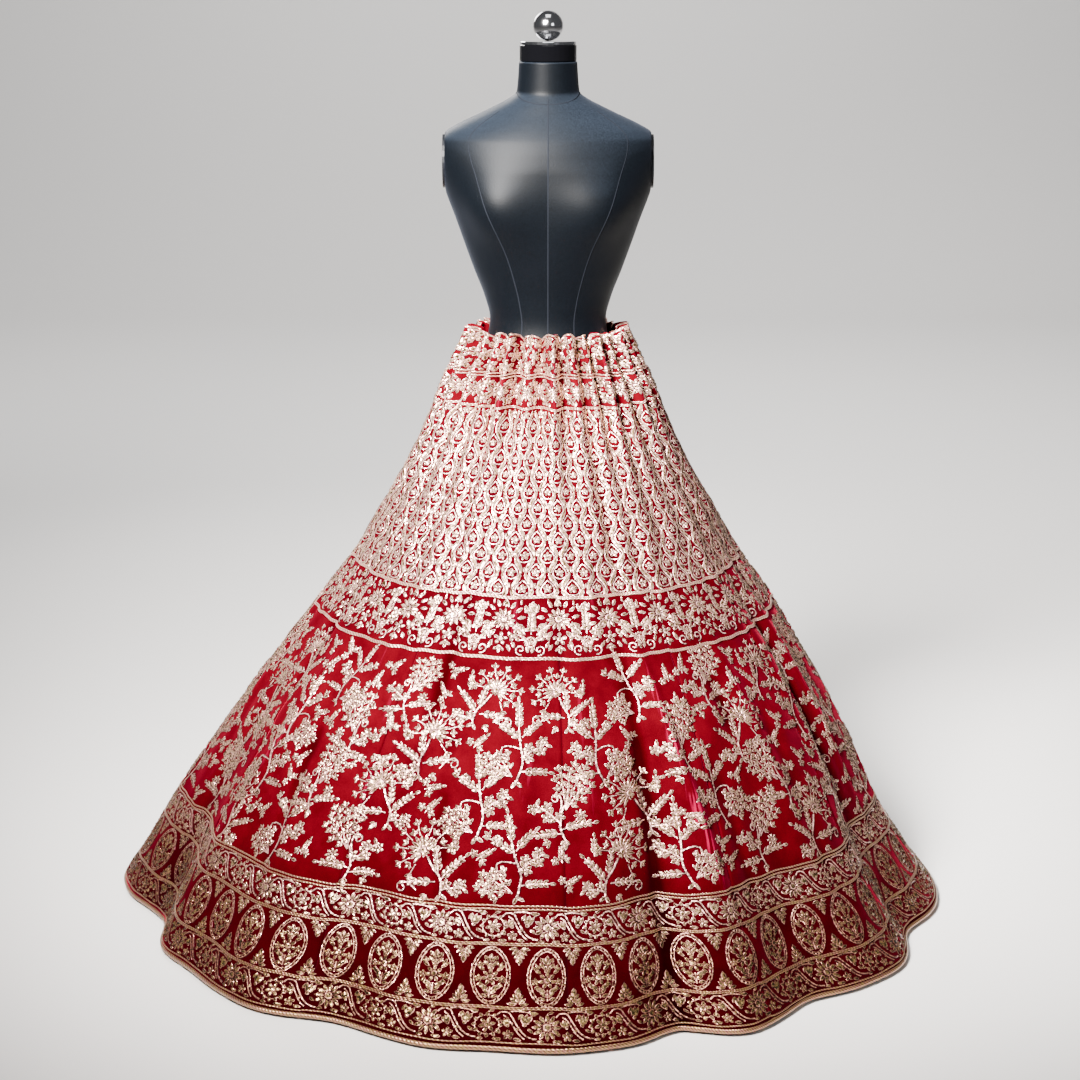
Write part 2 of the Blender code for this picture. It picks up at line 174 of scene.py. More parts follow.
# Dress form: height, half width, half depth
TORSO_SECTIONS = np.array((
    (0.7900, 0.150, 0.108),
    (0.8000, 0.163, 0.119),
    (0.8400, 0.170, 0.127),
    (0.8900, 0.169, 0.127),
    (0.9300, 0.160, 0.124),
    (0.9620, 0.1455, 0.1175),
    (0.9900, 0.123, 0.102),
    (1.0200, 0.105, 0.089),
    (1.0450, 0.102, 0.086),
    (1.0800, 0.110, 0.090),
    (1.1300, 0.129, 0.101),
    (1.1800, 0.147, 0.110),
    (1.2200, 0.161, 0.115),
    (1.2600, 0.176, 0.117),
    (1.3000, 0.189, 0.115),
    (1.3300, 0.195, 0.109),
    (1.3540, 0.191, 0.101),
    (1.3680, 0.178, 0.094),
    (1.3830, 0.152, 0.085),
    (1.3980, 0.120, 0.075),
    (1.4120, 0.091, 0.066),
    (1.4240, 0.068, 0.058),
    (1.4350, 0.0545, 0.0525),
    (1.4500, 0.0525, 0.0515),
    (1.4860, 0.0500, 0.0500),
))
ARM_PLANE = 0.1780
BUST_RISE = 0.024
BUST_HEIGHT = 1.238
BUST_HALF_HEIGHT = 0.060
BUST_DIRECTION = 31.0
BUST_HALF_WIDTH = 21.0

# Both sides of a motif's middle line, and the angle in degrees between one floret of a bush and the next
SIDES = (-1.0, 1.0)
SEED_ANGLE = 137.5

# How many of each motif go once round
HEADING_FLOWERS = 58
YOKE_POSIES = 52
LATTICE_COLUMNS = 50
LATTICE_ROWS = 11
BAND_POSIES = 26
BORDER_BAYS = 50

# Field rows: slope of each bouquet's foot, how many round, start in places, size
FIELD_ROWS = (
    (0.676, 22, 0.15, 0.99),
    (0.768, 22, 0.60, 1.12),
    (0.862, 24, 0.25, 1.12),
    (0.955, 26, 0.75, 1.12),
)

# Small motifs look for bare ground cell by cell, in steps that scatter them
GAP_CELL = 0.0035
SCATTER_STEP = 7919
SCATTER_START = 104729

# Stage: half width of the floor, its front and back edges, the sweep's radius and the wall's top
FLOOR_ACROSS = 12.0
FLOOR_FRONT = -12.0
FLOOR_BACK = 7.2
SWEEP_RADIUS = 2.4
WALL_TOP = 7.0

# name, place, aim, size, power, spread in degrees, colour
LIGHTS = (
    ("key", (-0.9, -1.9, 2.5), (0.0, -0.10, 1.02), 0.9, 150.0, 62.0, (1.0, 0.97, 0.94)),
    ("fill", (2.4, -3.4, 2.3), (0.0, 0.0, 0.7), 1.2, 34.0, 180.0, (0.96, 0.97, 1.0)),
    ("top", (0.0, -0.4, 3.9), (0.0, 0.0, 0.5), 1.2, 18.0, 180.0, (1.0, 1.0, 1.0)),
    ("rear", (-1.5, 3.2, 2.7), (0.0, 0.0, 0.8), 1.4, 42.0, 120.0, (1.0, 0.98, 0.96)),
    ("backdrop", (0.0, 4.4, 4.6), (0.0, 7.4, 0.2), 4.0, 420.0, 180.0, (1.0, 1.0, 1.0)),
)
WORLD_COLOUR = (0.78, 0.79, 0.82, 1.0)
WORLD_STRENGTH = 0.14

# Camera, fitted to the photo
CAMERA_BACK = 4.21
CAMERA_UP = 1.645
CAMERA_TILT = 13.4
CAMERA_FOCAL = 2408.0
CAMERA_ASIDE = 8.0
PICTURE = 1080.0


class LehengaSettings(bpy.types.PropertyGroup):
    velvet_colour: bpy.props.FloatVectorProperty(
        name="Velvet", description="Colour of the velvet's ground", subtype="COLOR",
        default=(0.082, 0.0007, 0.0042), min=0.0, max=1.0)
    # Painted highlight: pink laid on the velvet where folds and gathers stand out, in narrow streaks
    velvet_ridge_highlight: bpy.props.FloatVectorProperty(
        name="Velvet on ridges", description="Colour where the pile turns to the light", subtype="COLOR",
        default=(0.380, 0.0020, 0.048), min=0.0, max=1.0)
    # Painted shade: dark colour laid on the velvet in the troughs of folds and gathers
    velvet_trough_shade: bpy.props.FloatVectorProperty(
        name="Velvet in troughs", description="Colour deep in a fold", subtype="COLOR",
        default=(0.020, 0.0, 0.0008), min=0.0, max=1.0)
    pile_sheen: bpy.props.FloatProperty(
        name="Pile sheen", description="How much the pile catches grazing light",
        default=0.22, min=0.0, max=1.0)
    # Thread colours near the waist and near the hem: partly the thread's own tint, partly painted light,
    # paler and brighter near the strongly lit waist and darker towards the hem
    thread_upper_tint_and_light: bpy.props.FloatVectorProperty(
        name="Thread, upper", description="Metallic thread near the waist", subtype="COLOR",
        default=(1.0, 0.67, 0.42), min=0.0, max=1.0)
    thread_lower_tint_and_shade: bpy.props.FloatVectorProperty(
        name="Thread, lower", description="Metallic thread near the hem", subtype="COLOR",
        default=(0.36, 0.225, 0.080), min=0.0, max=1.0)
    # Painted shade: colour of the thread facets painted as if turned away from the light
    thread_shade: bpy.props.FloatVectorProperty(
        name="Thread, turned away", description="Facets of thread that face away", subtype="COLOR",
        default=(0.024, 0.014, 0.004), min=0.0, max=1.0)
    # Outline cord colours near the waist and near the hem: partly the cord's own tint, partly painted light,
    # paler near the strongly lit waist and darker towards the hem
    cord_upper_tint_and_light: bpy.props.FloatVectorProperty(
        name="Outline, upper", description="Cord round the motifs near the waist", subtype="COLOR",
        default=(1.0, 0.52, 0.50), min=0.0, max=1.0)
    cord_lower_tint_and_shade: bpy.props.FloatVectorProperty(
        name="Outline, lower", description="Cord round the motifs near the hem", subtype="COLOR",
        default=(0.36, 0.140, 0.115), min=0.0, max=1.0)
    # Painted shadow: a dark rim laid on the velvet round every stitched leaf, dot and cord, as if cast by the
    # raised embroidery; the margin sets how far it reaches past the stitching
    motif_shadow_rim_colour: bpy.props.FloatVectorProperty(
        name="Outline shade", description="Dark ground that frames every stitched leaf", subtype="COLOR",
        default=(0.020, 0.0006, 0.0024), min=0.0, max=1.0)
    shadow_rim_margin: bpy.props.FloatProperty(
        name="Stitch margin", description="How far the dark frame reaches past a stitched leaf",
        default=0.0007, min=0.0, max=0.002, unit="LENGTH")
    relief: bpy.props.FloatProperty(
        name="Relief", description="Height of the embroidery above the velvet", default=0.0020,
        min=0.0003, max=0.004, unit="LENGTH")
    cloth_thick: bpy.props.FloatProperty(
        name="Cloth thickness", description="Velvet with its backing", default=0.0016,
        min=0.0005, max=0.003, unit="LENGTH")
    # Painted light and shade on the form's cover: darker where it stands upright, lighter where it faces up,
    # as if lit from above
    form_colour: bpy.props.FloatVectorProperty(
        name="Form", description="Colour of the form's cover where it stands upright", subtype="COLOR",
        default=(0.0011, 0.0016, 0.0024), min=0.0, max=1.0)
    form_top_light: bpy.props.FloatVectorProperty(
        name="Form, shoulders", description="Colour of the form's cover where its nap faces up",
        subtype="COLOR", default=(0.0066, 0.0090, 0.0130), min=0.0, max=1.0)
    floor_colour: bpy.props.FloatVectorProperty(
        name="Floor", description="Colour of the plain floor", subtype="COLOR",
        default=(0.80, 0.78, 0.76), min=0.0, max=1.0)


def settings():
    return bpy.context.scene.lehenga


# Curves through tables


def smooth_table(heights, values, at):
    """Values at heights by a curve through the table's rows that never overshoots."""
    order = np.argsort(heights)
    x = heights[order]
    y = values[order]
    step = np.diff(x)
    rise = np.diff(y) / step
    slope = np.zeros_like(y)
    same = rise[:-1] * rise[1:] > 0.0
    both = np.where(same, rise[:-1] + rise[1:], 1.0)
    slope[1:-1] = np.where(same, 2.0 * rise[:-1] * rise[1:] / both, 0.0)
    slope[0] = rise[0]
    slope[-1] = rise[-1]
    at = np.clip(at, x[0], x[-1])
    i = np.clip(np.searchsorted(x, at, side="right") - 1, 0, len(step) - 1)
    t = (at - x[i]) / step[i]
    a = (1.0 + 2.0 * t) * (1.0 - t) ** 2
    b = t * (1.0 - t) ** 2
    c = t * t * (3.0 - 2.0 * t)
    d = t * t * (t - 1.0)
    return a * y[i] + b * step[i] * slope[i] + c * y[i + 1] + d * step[i] * slope[i + 1]


PROFILE_HEIGHTS = np.linspace(SECTIONS[0, 0], HEM_HEIGHT, 1600)
PROFILE_COLUMNS = [smooth_table(SECTIONS[:, 0], SECTIONS[:, k], PROFILE_HEIGHTS) for k in range(1, 6)]
PROFILE_SLOPE = np.concatenate((
    [0.0],
    np.cumsum(np.hypot(np.diff(PROFILE_COLUMNS[2]), np.diff(PROFILE_HEIGHTS))),
))
PROFILE_SLOPE *= HEM_SLOPE / PROFILE_SLOPE[-1]


def direction_of(turn):
    """Radians from the front of a place counted in gathered turns."""
    spaced = np.array(turn, dtype=float)
    for swing, waves, start in SPACING_WAVES:
        spaced = spaced + swing * np.sin(2.0 * np.pi * waves * turn + start)
    return 2.0 * np.pi * spaced


SHARE_TURNS = np.linspace(-0.5, 1.5, 4001)
SHARE_SPOTS = direction_of(SHARE_TURNS) / (2.0 * np.pi)


def turn_of(share):
    """The gathered turn that lies at a share of the way round."""
    whole = np.floor(share)
    return whole + np.interp(share - whole, SHARE_SPOTS, SHARE_TURNS)


def gather_crest(turn):
    """Share of its gather's depth by which a place stands out of the trough."""
    share = np.full_like(np.asarray(turn, dtype=float), DEPTH_MEAN)
    for swing, waves, start in DEPTH_WAVES:
        share = share + swing * np.sin(2.0 * np.pi * waves * turn + start)
    return share * (0.5 + 0.5 * np.cos(2.0 * np.pi * GATHER_COUNT * turn))


def cloth_out(turn, slope, height, radius):
    """How far the long folds, and how far the soft creases, push the cloth out."""
    degrees = np.degrees(direction_of(turn))
    long_folds = np.zeros_like(degrees)
    for centre, rise, half_width, top in FOLDS:
        away = (degrees - centre + 180.0) % 360.0 - 180.0
        grown = np.clip((top - height) / (top - HEM_HEIGHT), 0.0, None) ** FOLD_GROWTH
        long_folds += rise * grown * np.exp(-((away / half_width) ** 2))
    creases = np.zeros_like(degrees)
    for centre, slant, upper, lower, rise, half_width in CREASES:
        middle = centre + slant * (slope - 0.5 * (upper + lower))
        away = np.radians((degrees - middle + 180.0) % 360.0 - 180.0) * radius
        share = np.clip((slope - upper) / (lower - upper), 0.0, 1.0)
        creases += rise * np.sin(np.pi * share) ** 1.5 * np.exp(-((away / half_width) ** 2))
    lap = 2.0 * np.pi * turn
    grown = np.clip((slope - 0.16) / 0.25, 0.0, 1.0)
    creases += grown * 0.0011 * np.sin(31.0 * lap + 21.0 * slope + 2.0 * np.sin(17.0 * slope))
    creases += grown * 0.0009 * np.sin(19.0 * lap - 33.0 * slope + 1.3)
    return long_folds, creases


def cloth(turn, slope):
    """Points on the outer face of the skirt, and how far each is on a ridge."""
    turn, slope = np.broadcast_arrays(np.asarray(turn, dtype=float), np.asarray(slope, dtype=float))
    height = np.interp(slope, PROFILE_SLOPE, PROFILE_HEIGHTS)
    right, left, front, back, depth = (np.interp(slope, PROFILE_SLOPE, c) for c in PROFILE_COLUMNS)
    direction = direction_of(turn)
    across = np.where(np.sin(direction) > 0.0, right, left)
    along = np.where(np.cos(direction) > 0.0, front, back)
    crest = gather_crest(turn)
    long_folds, creases = cloth_out(turn, slope, height, 0.5 * (across + along))
    head = np.clip(1.0 - slope / JOIN_SLOPE, 0.0, 1.0)
    flutter = head * 0.0035 * np.sin(2.0 * np.pi * 47.0 * turn + 1.7)
    flutter += head * 0.0025 * np.sin(2.0 * np.pi * 71.0 * turn + 0.4)
    nip = 0.0030 * np.exp(-(((slope - LINE_CASING) / 0.006) ** 2)) * crest
    out = depth * (crest - 1.0) + long_folds + creases + flutter - nip
    normal_x = np.sin(direction) / across
    normal_y = -np.cos(direction) / along
    size = np.hypot(normal_x, normal_y)
    scallop = np.abs(np.cos(np.pi * GATHER_COUNT * turn)) ** 0.7
    lift = head ** 1.2 * (0.0140 * scallop - 0.0070)
    lift += head * 0.0018 * np.sin(2.0 * np.pi * 11.0 * turn + 0.8)
    points = np.stack((
        across * np.sin(direction) + normal_x / size * out,
        -along * np.cos(direction) + normal_y / size * out,
        height + lift,
    ), axis=-1)
    # ridge: how far the cloth stands out on a fold or gather; the velvet and the thread paint their shade and
    # highlight from it
    ridge = 0.5 + long_folds * 10.0 + creases * 55.0 + depth * (crest - 0.5) * 22.0
    return points, np.clip(ridge, 0.0, 1.0)


def cloth_frame(turn, slope):
    """Points and outward normals."""
    step_turn = 0.00025
    step_slope = 0.0012
    here, ridge = cloth(turn, slope)
    aside, _ = cloth(turn + step_turn, slope)
    lower, _ = cloth(turn, np.clip(slope + step_slope, 0.0, HEM_SLOPE))
    upper, _ = cloth(turn, np.clip(slope - step_slope, 0.0, HEM_SLOPE))
    normal = np.cross(lower - upper, aside - here)
    normal /= np.linalg.norm(normal, axis=-1, keepdims=True)
    return here, normal, ridge


def round_length(slope):
    """Length of cloth once round at a slope, gathers taken in."""
    right, left, front, back, depth = (np.interp(slope, PROFILE_SLOPE, c) for c in PROFILE_COLUMNS)
    radius = 0.25 * (right + left + front + back) - 0.5 * depth
    pitch = 2.0 * np.pi * radius / GATHER_COUNT
    swell = 1.0 + 1.6 * (depth / pitch) ** 2
    return 2.0 * np.pi * radius * np.minimum(swell, 1.6)


# Meshes


def mesh_object(name, points, triangles, material, attributes=(), uv=None):
    """One object from arrays of points and triangles, smooth shaded, riding on the body."""
    mesh = bpy.data.meshes.new(name)
    points = np.ascontiguousarray(points, dtype=np.float32)
    triangles = np.ascontiguousarray(triangles, dtype=np.int32)
    mesh.vertices.add(len(points))
    mesh.vertices.foreach_set("co", points.ravel())
    mesh.loops.add(triangles.size)
    mesh.loops.foreach_set("vertex_index", triangles.ravel())
    mesh.polygons.add(len(triangles))
    mesh.polygons.foreach_set("loop_start", np.arange(0, triangles.size, 3, dtype=np.int32))
    mesh.polygons.foreach_set("use_smooth", np.ones(len(triangles), dtype=bool))
    if uv is not None:
        layer = mesh.uv_layers.new(name="Cloth")
        layer.data.foreach_set("uv", np.asarray(uv, dtype=np.float32)[triangles.ravel()].ravel())
    for label, values in attributes:
        kept = mesh.attributes.new(label, "FLOAT", "POINT")
        kept.data.foreach_set("value", np.asarray(values, dtype=np.float32).ravel())
    mesh.update()
    mesh.validate()
    made = bpy.data.objects.new(name, mesh)
    bpy.context.scene.collection.objects.link(made)
    made.data.materials.append(material)
    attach(made, BODY)
    return made


def grid_triangles(columns, rows, start=0):
    """Triangles of a grid laid out column by column, facing out."""
    c, r = np.meshgrid(np.arange(columns - 1), np.arange(rows - 1), indexing="ij")
    a = (start + c * rows + r).ravel()
    b = a + rows
    return np.concatenate((np.stack((a, a + 1, b + 1), 1), np.stack((a, b + 1, b), 1)))


def cloth_piece(name, first, last, columns, slopes, material, seams):
    """A thin shell of cloth between two turns, sunk a little along its seams."""
    turns = np.linspace(first, last, columns)
    turn, slope = np.meshgrid(turns, slopes, indexing="ij")
    points, normals, ridge = cloth_frame(turn, slope)
    if seams:
        length = round_length(slope)
        near = np.minimum(turn - first, last - turn) * length
        points = points - normals * (0.0012 * np.exp(-((near / 0.0035) ** 2)))[..., None]
    points = points.reshape(-1, 3)
    uv = np.stack((turn.ravel() * 4.0, 1.2 - slope.ravel()), 1)
    fall = np.clip(slope / HEM_SLOPE, 0.0, 1.0).ravel()
    made = mesh_object(
        name, points, grid_triangles(columns, len(slopes)), material,
        (("ridge", ridge), ("fall", fall)), uv)
    thick = made.modifiers.new("thickness", "SOLIDIFY")
    thick.thickness = settings().cloth_thick
    thick.offset = -1.0
    return made


# Embroidery motifs, drawn flat: x across, y up towards the waist, angles in degrees clockwise from up


class Motif:
    """A drawing in stitched leaves (x, y, angle, length, width), dots (x, y, radius) and cords."""

    def __init__(self):
        self.leaves = []
        self.dots = []
        self.cords = []

    def leaf(self, x, y, angle, length, width=0.48):
        self.leaves.append((x, y, math.radians(angle), length, width * length))

    def leafed(self, *rows):
        """Leaves in rows: x, y, angle, length, and width as a share of the length."""
        for row in rows:
            self.leaf(*row)

    def petals(self, angles, reach, length, width, y=0.0):
        """Leaves that point away from a place on the middle line, their feet at a distance from it."""
        for angle in angles:
            aside, up = polar(reach, angle)
            self.leaf(aside, y + up, angle, length, width)

    def dot(self, x, y, radius):
        self.dots.append((x, y, radius))

    def beads(self, angles, reach, radius):
        for angle in angles:
            self.dot(*polar(reach, angle), radius)

    def cord(self, points, width, height):
        points = np.array(points, dtype=float)
        self.cords.append((points, np.full(len(points), width), height, 0.44))

    def stem(self, places, count, width, height):
        """A cord along a smooth line through a few places."""
        self.cord(curve_points(places, count), width, height)

    def blade(self, points, width):
        """A long leaf along a curve."""
        points = np.array(points, dtype=float)
        swell = np.sin(np.pi * np.linspace(0.05, 0.95, len(points))) ** 0.72
        self.cords.append((points, width * swell, 1.0, 1.0))

    def add(self, other, x, y, angle=0.0, scale=1.0, flip=False):
        turn = math.radians(angle)
        sine = math.sin(turn)
        cosine = math.cos(turn)
        side = -1.0 if flip else 1.0

        def placed(px, py):
            px = px * side * scale
            py = py * scale
            return x + px * cosine + py * sine, y - px * sine + py * cosine

        for lx, ly, la, length, width in other.leaves:
            self.leaves.append((*placed(lx, ly), la * side + turn, length * scale, width * scale))
        for dx, dy, radius in other.dots:
            self.dots.append((*placed(dx, dy), radius * scale))
        for points, width, height, crest in other.cords:
            self.cords.append((np.stack(placed(points[:, 0], points[:, 1]), 1), width, height, crest))

    def holding(self, *rows):
        """Adds drawings in rows: drawing, x, y, and then angle, scale and flip where they matter."""
        for row in rows:
            self.add(*row)
        return self

    def scaled(self, across, up):
        """The same drawing with its places spread by two factors, its leaves kept in shape."""
        drawn = Motif()
        size = math.sqrt(across * up)
        for x, y, angle, length, width in self.leaves:
            drawn.leaves.append((x * across, y * up, angle, length * size, width * size))
        for x, y, radius in self.dots:
            drawn.dots.append((x * across, y * up, radius * size))
        for points, width, height, crest in self.cords:
            drawn.cords.append((points * np.array((across, up)), width, height, crest))
        return drawn


def polar(radius, angle):
    """A place at a distance and an angle in degrees clockwise from up."""
    return radius * math.sin(math.radians(angle)), radius * math.cos(math.radians(angle))


def round_angles(count, start=0.0):
    """Evenly spaced angles once round, in degrees."""
    return start + 360.0 * np.arange(count) / count


def spiral_points(x, y, radius, start, turns, count, inner=0.15):
    """A curl that winds in towards its middle."""
    share = np.linspace(0.0, 1.0, count)
    angles = np.radians(start) + 2.0 * np.pi * turns * share
    reach = radius * (1.0 - (1.0 - inner) * share)
    return np.stack((x + reach * np.sin(angles), y + reach * np.cos(angles)), 1)


def curve_points(points, count):
    """A smooth line through a few places."""
    given = np.array(points, dtype=float)
    reach = np.concatenate(([0.0], np.cumsum(np.hypot(*np.diff(given, axis=0).T))))
    along = np.linspace(0.0, reach[-1], count)
    return np.stack((smooth_table(reach, given[:, 0], along), smooth_table(reach, given[:, 1], along)), 1)


def ring_points(width, height, count, point=0.0):
    """A closed oval, drawn to a point at both ends by a share."""
    angles = np.linspace(0.0, 2.0 * np.pi, count)
    squeeze = 1.0 - point * np.abs(np.cos(angles)) ** 3
    return np.stack((0.5 * width * np.sin(angles) * squeeze, 0.5 * height * np.cos(angles)), 1)


def bent_points(length, bend, count):
    """A stem that leaves its foot upright and bends to one side."""
    share = np.linspace(0.0, 1.0, count)
    return np.stack((bend * share ** 2, length * share), 1)


def rosette(radius, petals, width=0.5, core=0.28):
    """Petals set close round a raised dot."""
    drawn = Motif()
    drawn.petals(round_angles(petals), core * radius, radius * (1.0 - core), width)
    drawn.dot(0.0, 0.0, core * radius * 1.15)
    return drawn


def rose(radius):
    """Five round petals about a raised heart."""
    drawn = Motif()
    drawn.beads(round_angles(5), 0.56 * radius, 0.46 * radius)
    drawn.dot(0.0, 0.0, 0.34 * radius)
    return drawn


def blossom(radius):
    """Five plump petals laid open."""
    drawn = Motif()
    drawn.petals(round_angles(5), 0.26 * radius, 0.76 * radius, 0.92)
    drawn.dot(0.0, 0.0, 0.32 * radius)
    return drawn


def ringed_flower(radius):
    """A round flower inside a ring of small petals."""
    drawn = Motif()
    drawn.cord(ring_points(1.60 * radius, 1.60 * radius, 13), 0.0018, 0.7)
    drawn.petals(round_angles(12), 0.66 * radius, 0.36 * radius, 0.85)
    drawn.petals(round_angles(6, 15.0), 0.12 * radius, 0.50 * radius, 0.62)
    drawn.dot(0.0, 0.0, 0.22 * radius)
    return drawn


def floret(size):
    """Three leaves from one foot."""
    drawn = Motif()
    for angle, reach in ((-56.0, 0.92), (0.0, 1.0), (56.0, 0.92)):
        drawn.leaf(0.0, 0.0, angle, size * reach, 0.50)
    drawn.dot(0.0, 0.0, size * 0.24)
    return drawn


def wheat(length, pairs, leaf, bend=0.0):
    """A stem with close pairs of plump leaves and one at the tip."""
    drawn = Motif()
    drawn.cord(bent_points(length, bend, 5), 0.0021, 0.6)
    for k in range(pairs):
        part = 0.16 + 0.80 * k / pairs
        size = leaf * (1.0 - 0.22 * part)
        lean = math.degrees(math.atan2(2.0 * bend * part, length))
        for spread in (-33.0, 33.0):
            drawn.leaf(bend * part ** 2, length * part, lean + spread, size, 0.50)
    drawn.leaf(bend, length, math.degrees(math.atan2(2.0 * bend, length)), leaf * 0.9, 0.56)
    return drawn


def bud(size):
    """A plump bud in its calyx."""
    drawn = Motif()
    drawn.leaf(0.0, 0.0, 0.0, size, 0.62)
    for angle in (-48.0, 48.0):
        drawn.leaf(0.0, -0.06 * size, angle, 0.62 * size, 0.46)
    drawn.dot(0.0, 0.36 * size, 0.15 * size)
    return drawn


def tulip(size):
    """A small open cup of three petals."""
    drawn = Motif()
    for angle in (-24.0, 24.0):
        drawn.leaf(0.0, -0.30 * size, angle, size, 0.44)
    drawn.leaf(0.0, -0.20 * size, 0.0, size * 0.86, 0.52)
    drawn.dot(0.0, -0.26 * size, 0.18 * size)
    return drawn


def fan_flower(size):
    """A wide head: long petals, then two arcs of small florets on stalks."""
    drawn = Motif()
    for k in range(11):
        angle = -110.0 + 22.0 * k
        drawn.leaf(*polar(0.08 * size, angle), angle, size * (0.50 + 0.05 * (k % 2)), 0.25)
    for k in range(7):
        angle = -102.0 + 34.0 * k
        drawn.add(floret(size * 0.22), *polar(0.68 * size, angle), angle + 8.0)
    for k in range(8):
        angle = -119.0 + 34.0 * k
        tip = polar(0.98 * size, angle)
        drawn.add(floret(size * 0.22), *tip, angle - 10.0)
        drawn.cord((polar(0.55 * size, angle), tip), 0.0014, 0.5)
    for angle in (150.0, 180.0, 210.0):
        drawn.leaf(0.0, 0.0, angle, size * 0.26, 0.46)
    drawn.dot(0.0, 0.0, size * 0.13)
    return drawn


def bush(width, height, count):
    """A rounded bush of small florets that all lean away from its foot."""
    drawn = Motif()
    for k in range(count):
        reach = math.sqrt((k + 0.6) / count)
        aside, up = polar(reach, SEED_ANGLE * k)
        x = 0.5 * width * aside
        y = 0.5 * height * (1.0 + up)
        drawn.add(floret(0.0088), x, y, math.degrees(math.atan2(x, y + 0.25 * height)))
    for share in (-0.36, -0.12, 0.14, 0.38):
        middle = (0.5 * share * width, 0.35 * height)
        drawn.cord(((0.0, -0.10 * height), middle, (share * width, 0.8 * height)), 0.0015, 0.4)
    return drawn


def flower_branch(length, bend, flowers, radius):
    """A bent stem with open flowers set left and right of it."""
    drawn = Motif()
    drawn.cord(bent_points(length, bend, 6), 0.0026, 0.8)
    for k in range(flowers):
        part = (k + 0.8) / flowers
        side = 1.0 if k % 2 else -1.0
        drawn.add(blossom(radius), bend * part ** 2 + side * 0.75 * radius, length * part, 25.0 * k)
        drawn.leaf(bend * part ** 2, length * part, -side * 62.0, 1.3 * radius, 0.50)
    return drawn


def tendril(size):
    """A short stem that ends in a curl."""
    drawn = Motif()
    foot = np.array(((0.0, 0.0), (0.10, 0.30), (0.12, 0.55))) * size
    curl = spiral_points(-0.14 * size, 0.62 * size, 0.27 * size, 100.0, -1.05, 9, 0.3)
    drawn.cord(np.concatenate((foot, curl)), 0.0021, 0.8)
    return drawn


def leaf_pair(size):
    """Two leaves that part from a dot."""
    drawn = Motif()
    for angle in (-42.0, 42.0):
        drawn.leaf(0.0, 0.0, angle, size, 0.5)
    drawn.dot(0.0, 0.0, 0.16 * size)
    return drawn


def bouquet_fan():
    """A fan head on a bent stem, with ears of leaves, a flowering side branch and a tendril."""
    drawn = Motif()
    drawn.stem([(0.010, -0.002), (0.012, 0.016), (0.002, 0.036), (-0.004, 0.052)], 8, 0.0036, 0.9)
    return drawn.holding(
        (fan_flower(0.039), -0.010, 0.062, -28.0),
        (wheat(0.048, 5, 0.0112, 0.008), 0.010, 0.016, 42.0),
        (wheat(0.042, 4, 0.0112, -0.006), 0.008, 0.024, 6.0),
        (wheat(0.042, 4, 0.0112, -0.006), 0.004, 0.016, -76.0),
        (flower_branch(0.030, 0.008, 3, 0.0080), 0.012, 0.004, 78.0),
        (wheat(0.026, 3, 0.0095), 0.034, 0.052, 10.0),
        (blossom(0.0082), 0.030, 0.060, 20.0),
        (tendril(0.034), -0.022, 0.008, -62.0),
        (leaf_pair(0.0120), 0.010, -0.002, 178.0),
        (bud(0.0130), -0.010, 0.000, -140.0),
    )


def bouquet_spray():
    """A branching spray of ears and open flowers beside a small bush."""
    drawn = Motif()
    drawn.stem([(0.0, -0.004), (-0.006, 0.026), (0.002, 0.056), (0.006, 0.076)], 9, 0.0034, 0.9)
    return drawn.holding(
        (wheat(0.044, 5, 0.0112, 0.003), 0.006, 0.072, 4.0),
        (flower_branch(0.040, -0.008, 4, 0.0082), -0.003, 0.034, -44.0),
        (wheat(0.042, 4, 0.0112, 0.008), 0.000, 0.058, 48.0),
        (wheat(0.036, 4, 0.0110, -0.006), 0.000, 0.064, -34.0),
        (bush(0.044, 0.044, 17), 0.010, 0.006, 62.0),
        (wheat(0.038, 4, 0.0110, -0.005), -0.005, 0.014, -80.0),
        (tendril(0.034), 0.000, 0.046, 96.0, 1.0, True),
        (rose(0.0080), 0.026, 0.078),
        (floret(0.0100), 0.038, 0.084, 40.0),
        (leaf_pair(0.0120), 0.000, -0.002, -164.0),
    )


def bouquet_round():
    """A leaning bush above a flowering branch, two ears and a tendril."""
    drawn = Motif()
    drawn.stem([(-0.004, -0.006), (0.004, 0.014), (0.002, 0.036), (-0.008, 0.050)], 7, 0.0034, 0.9)
    return drawn.holding(
        (bush(0.060, 0.062, 27), -0.006, 0.044, -16.0),
        (flower_branch(0.044, 0.008, 4, 0.0085), 0.003, 0.018, 44.0),
        (wheat(0.046, 5, 0.0112, -0.008), 0.002, 0.010, -68.0),
        (wheat(0.038, 4, 0.0112, 0.008), 0.002, 0.004, 84.0),
        (tendril(0.032), 0.004, 0.034, 6.0, 1.0, True),
        (rosette(0.0100, 8, 0.50), -0.026, 0.030),
        (bud(0.0130), -0.004, -0.006, 176.0),
        (floret(0.0100), 0.020, -0.008, 110.0),
    )


def sprig():
    """An ear with a flower and a floret at its foot."""
    return Motif().holding(
        (wheat(0.026, 4, 0.0095, 0.003), 0.0, -0.012),
        (blossom(0.0072), -0.0105, -0.008),
        (floret(0.0095), 0.006, -0.008, 80.0),
    )


def lattice_blades(drawn, width, row, share):
    """The curved leaves that close over a window, over a share of their length."""
    band = 0.200 * width
    wave = np.cos(np.pi * share)
    for side in SIDES:
        x = side * (0.25 * width * (1.0 + wave) - 0.5 * band * wave)
        drawn.blade(np.stack((x, row * share), 1), band)


